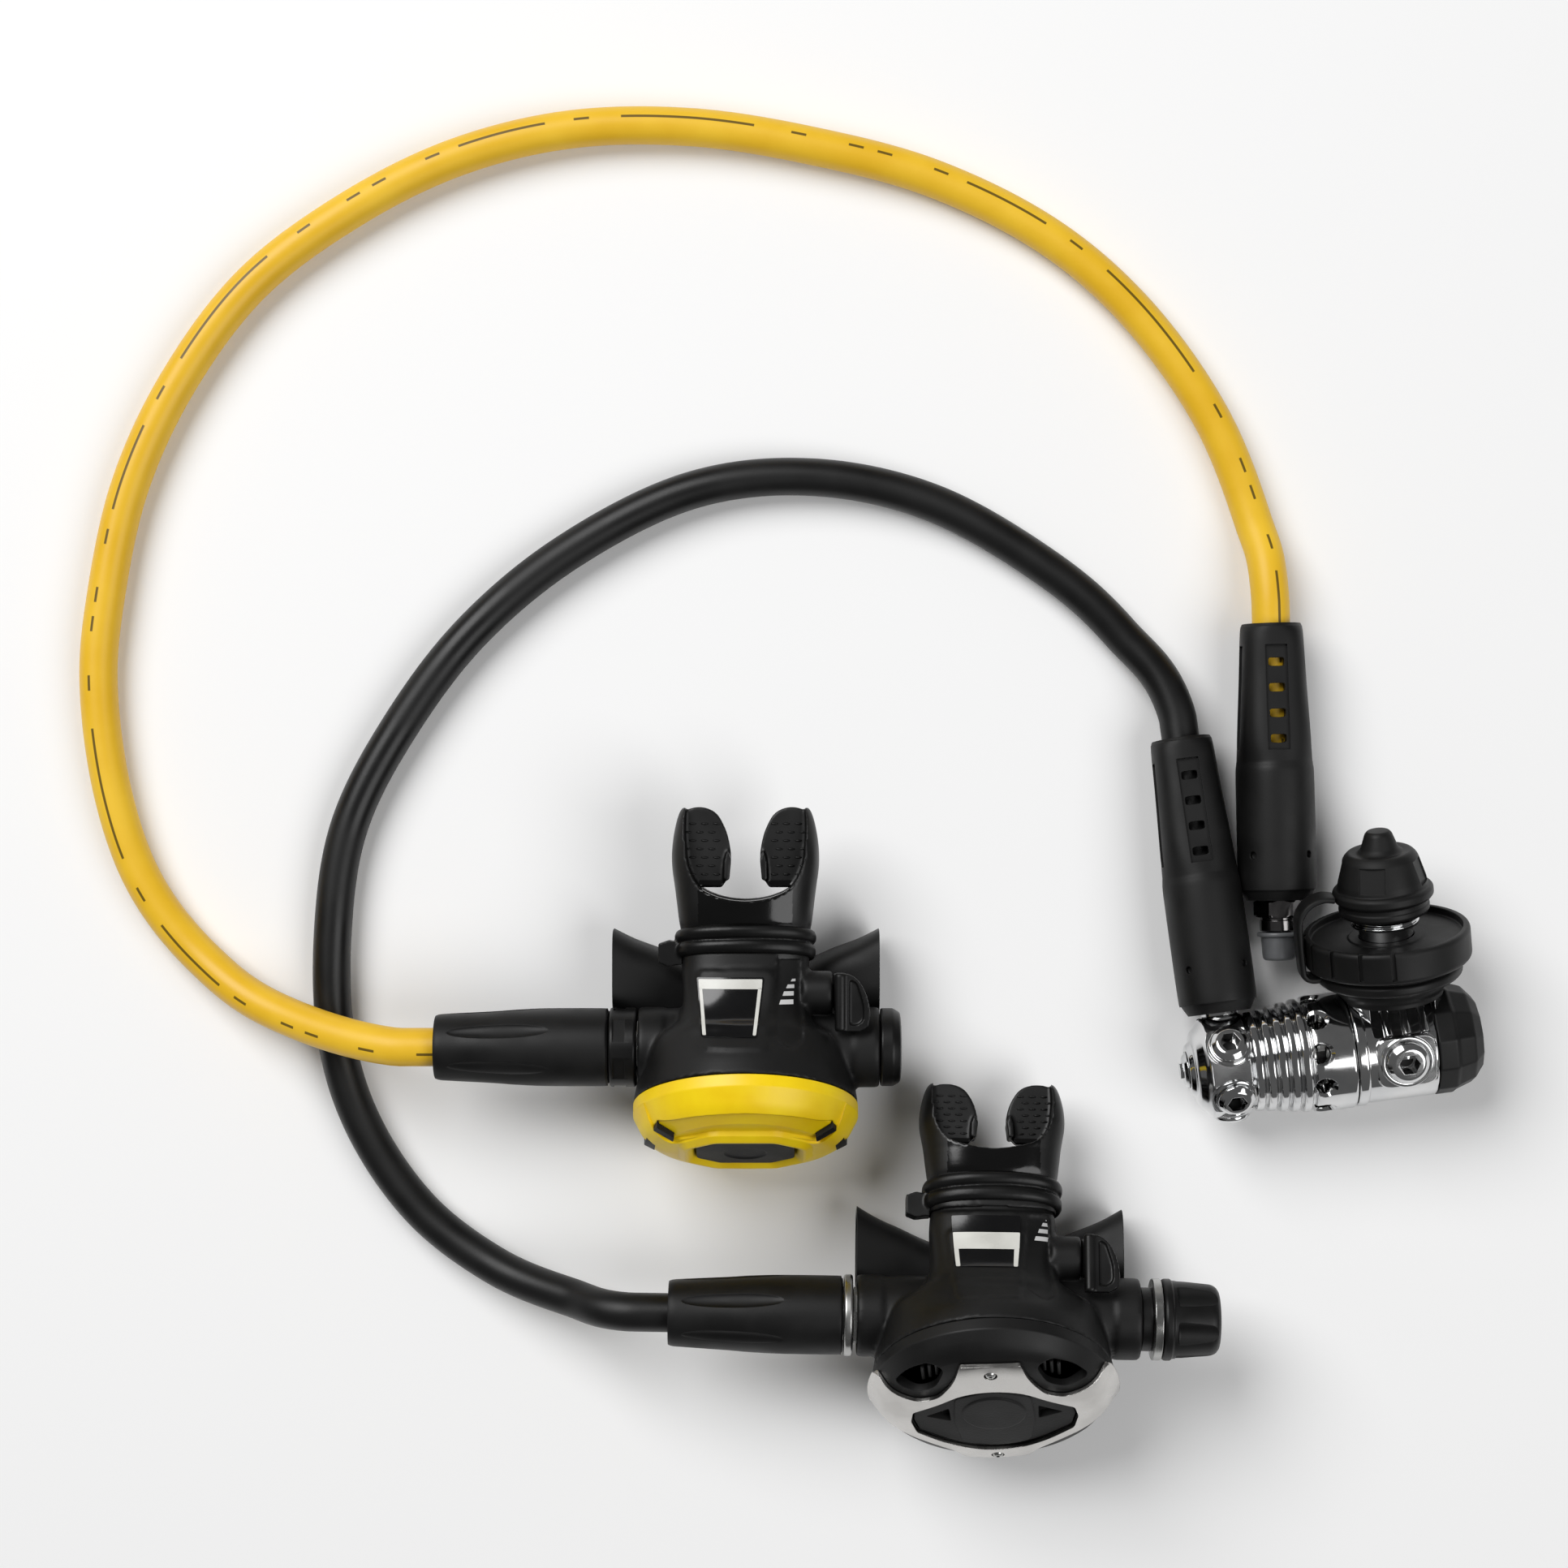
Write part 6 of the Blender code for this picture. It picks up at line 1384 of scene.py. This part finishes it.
def makeDiveLever(stage):
    name = stage["name"]
    x0, x1, y0, y1 = dive["root"], dive["reach"], dive["back"], dive["front"]
    low, top = dive["low"], dive["low"] + dive["thick"]
    sweep = [(x0, y1), (x0 + 4.0, y1)]
    sweep += [(x0 + 3.4 + (x1 - x0 - 3.4) * math.cos(t), y0 + 3.6 + (y1 - y0 - 3.6)
               * math.sin(t)) for t in (k * math.pi / 28 for k in range(13, -1, -2))]
    sweep += [(x1 - 0.6, y0 + 1.6), (x1 - 3.4, y0), (x0, y0)]
    piece = asObject(name + "_dive_paddle", raised(sweep, low, top))
    dish = [(x0 + 4.6, y0 + 1.9, 1), (x0 + 4.6, y1 - 1.9, 1), (x0 + 7.0, y1 - 2.6, 3),
            (x1 - 2.2, y0 + 8.6, 3), (x1 - 2.2, y0 + 3.6, 1.5), (x1 - 4.2, y0 + 1.9, 1)]
    combine(piece, raised(dish, top - 0.8, top + 3, 0.01))
    ridge = [oval((x0 + 1.7, y, low + 1.9), (1, 0, 0), (0, 0, 1), r, r * 1.15, 2.4, 40)
             for y, r in ((y0 - 0.2, 1.4), (y0 + 0.6, 1.9), (y1 - 0.4, 1.9), (y1 + 0.3, 1.4))]
    join(piece, lofted(ridge))
    axis = move(*diveAt) @ toX
    hub = turned([(0, diveFace - 3.7), (2.2, diveFace - 3.7, 0.2), (2.2, diveFace + 0.3, 0.1),
                  (6.2, diveFace + 0.3, 0.4), (6.2, diveFace + 2.9, 0.6),
                  (0, diveFace + 2.9)], 64)
    join(piece, hub, axis)
    softSkin(piece, 0.35, 2)
    return finished(piece, name + "_dive", "black_plastic", smoothNylon,
                    [name + "_dive_lever"], 50, stage["at"])


knob = {"start": 49.3, "neck": 52.7, "ring": (53.0, 56.0), "grip": 56.3, "length": 19.0}


def makeKnob():
    k = knob
    end = k["grip"] + k["length"]
    piece = asObject("primary_grip_knob", turned([
        (0, 40), (6.3, 40, 0.2), (6.3, k["start"], 0.1), (10.5, k["start"], 0.3),
        (10.5, k["neck"], 0.2), (9.0, k["neck"], 0.1), (9.0, k["grip"], 0.1),
        (12.9, k["grip"], 0.3), (13.5, k["grip"] + 0.8, 0.4), (13.5, k["grip"] + 2.8, 0.3),
        (12.9, k["grip"] + 3.4, 0.3), (12.8, k["grip"] + 7, 2), (11.8, end - 2.6, 1.0),
        (11.0, end - 1.0, 0.6), (9.6, end, 0.4), (8.2, end, 0.3), (7.8, end - 1.0, 0.3),
        (0, end - 1.0)], 96))
    scoop = turned([(0, 0), (7.0, 0, 1.2), (7.0, 20, 0.1), (0, 20)], 48)
    scoop.transform(move(17.9, 0, k["grip"] + 4.4))
    combine(piece, asMesh(roundRow("scoops", scoop, 6, 60, 30, smoothNylon)))
    finished(piece, "primary_knob", "black_plastic", smoothNylon, ["primary_knob"], 30,
             primary["at"] @ toX)
    low, high = k["ring"]
    band = asObject("primary_knob_band", turned([
        (9.3, low, 0.1), (13.2, low, 0.1), (13.5, low + 0.3, 0.1), (13.5, high - 0.3, 0.1),
        (13.2, high, 0.1), (9.3, high, 0.1)], 96))
    finished(band, "primary_knob", "brushed_metal", turnedSteel, ["primary_knob_ring"], 30,
             primary["at"] @ toX)


def makeNut(stage, node, low, high, tail, radius, slotName, metal, notch):
    rows = [(2.5, tail, 0.1), (8.0, tail, 0.3), (8.4, tail + 0.5, 0.3), (8.4, low, 0.1),
            (radius - 0.5, low, 0.4), (radius, low + 0.6, 0.3), (radius, high - 0.6, 0.3),
            (radius - 0.5, high, 0.3), (6.6, high, 0.1), (6.6, high - 11, 0.1),
            (2.5, high - 11, 0.1)]
    piece = asObject(stage["name"] + "_hose_nut", turned(rows, 96))
    if notch:   # flats for a spanner, and a groove
        for turn in range(0, 360, 60):
            flat = block((-6, radius - 0.7, low + 1.4), (6, radius + 2, low + 5.4))
            combine(piece, flat, spin(turn, "Z"))
    flat = primaryFlat if stage is primary else octopusFlat
    finished(piece, "hose_set", slotName, metal, [node], 30, flat @ toX)


def makeEndPlug():
    start = 44.9
    piece = asObject("octopus_side_plug", turned([
        (0, 37.6), (6.7, 37.6, 0.2), (6.7, start, 0.1), (12.6, start, 0.3),
        (13.0, start + 0.5, 0.3), (13.0, start + 4.2, 0.5), (11.6, start + 6.6, 0.8),
        (9.0, start + 7.0, 0.4), (8.2, start + 6.1, 0.3), (0, start + 6.0)], 96))
    combine(piece, raised([(-5, -0.9), (5, -0.9), (5, 0.9), (-5, 0.9)], start + 4.8,
                          start + 9, 0.5))
    finished(piece, "octopus_stage", "black_plastic", smoothNylon, ["octopus_end_plug"], 30,
             octopus["at"] @ toX)


for stage in (primary, octopus):
    makeCase(stage)
    makeLabel(stage)
    makeMouthpiece(stage)
    makeTie(stage)
    makeTee(stage)
    makeDiveLever(stage)
    print(stage["name"], "second stage made")
makePrimaryFace()
makeOctopusFace()
makeButtons()
makeKnob()
makeEndPlug()
makeNut(primary, "primary_swivel_nut", -49.5, -46.5, -70.2, 13.5, "brushed_metal", turnedSteel,
        False)
makeNut(octopus, "octopus_swivel_nut", -45.4, -36.4, -60.1, 13.2, "black_plastic",
        smoothNylon, True)

# spring wire coiled round the piston, seen through the drilled holes
coil = runTree(asObject("pressure_spring", bmesh.new()), cutThread, {
    "Turns": 4.0, "Radius": 11.7 * mm, "Length": 21.8 * mm, "Height": 1.5 * mm, "Sides": 16,
    "Material": turnedSteel})
coil.data.transform(move(z=-43.6))
finished(coil, "first_stage", "steel", turnedSteel, ["main_spring"], 60, stageFrame @ toX)

# solid pieces kept as they are, in their real materials
kept = {"piston": turnedSteel, "inlet_filter": sinteredBronze}
kept.update({side + part: turnedSteel for side in ("primary", "octopus")
             for part in ("_diaphragm_plate", "_demand_lever", "_barrel", "_poppet")})
for node, material in kept.items():
    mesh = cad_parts[node].data
    mesh.materials.clear()
    mesh.materials.append(material)
print("second stages made")


# plain pale floor, large soft lamps, a dim grey room for the metal to show
room = {"floor": "#f6f6f6", "world": 0.12, "key": 44.0, "fill": 22.0}
floorMesh = bmesh.new()
bmesh.ops.create_grid(floorMesh, x_segments=1, y_segments=1, size=6.0)
floor = asObject("floor", floorMesh)
floorPaint, _, floorShader, *_ = newMaterial("floor_paper_matt", {"Roughness": 1.0,
                                             "Specular IOR Level": 0.0},
                                             (room["floor"], room["floor"]), 400.0)
floor.data.materials.append(floorPaint)
floor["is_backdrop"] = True

world = bpy.data.worlds.new("room")
bpy.context.scene.world = world
world.use_nodes = True
world.node_tree.nodes["Background"].inputs["Color"].default_value = (1, 1, 1, 1)
world.node_tree.nodes["Background"].inputs["Strength"].default_value = room["world"]


def addLamp(name, place, aim, size, power):
    data = bpy.data.lights.new(name, "AREA")
    data.shape, data.size, data.energy = "DISK", size, power
    lamp = bpy.data.objects.new(name, data)
    lamp.location = place
    lamp.rotation_euler = (Vector(aim) - Vector(place)).to_track_quat("-Z", "Y").to_euler()
    bpy.context.scene.collection.objects.link(lamp)


middle = (-0.08, 0.1, 0.0)
addLamp("key", (-1.1, 1.2, 1.7), middle, 1.6, room["key"])
addLamp("fill", (1.2, -0.5, 1.8), middle, 1.6, room["fill"])
bpy.context.scene.view_settings.view_transform = "Standard"

[[list(corner) for corner in box] for box in (cadBox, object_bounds())]
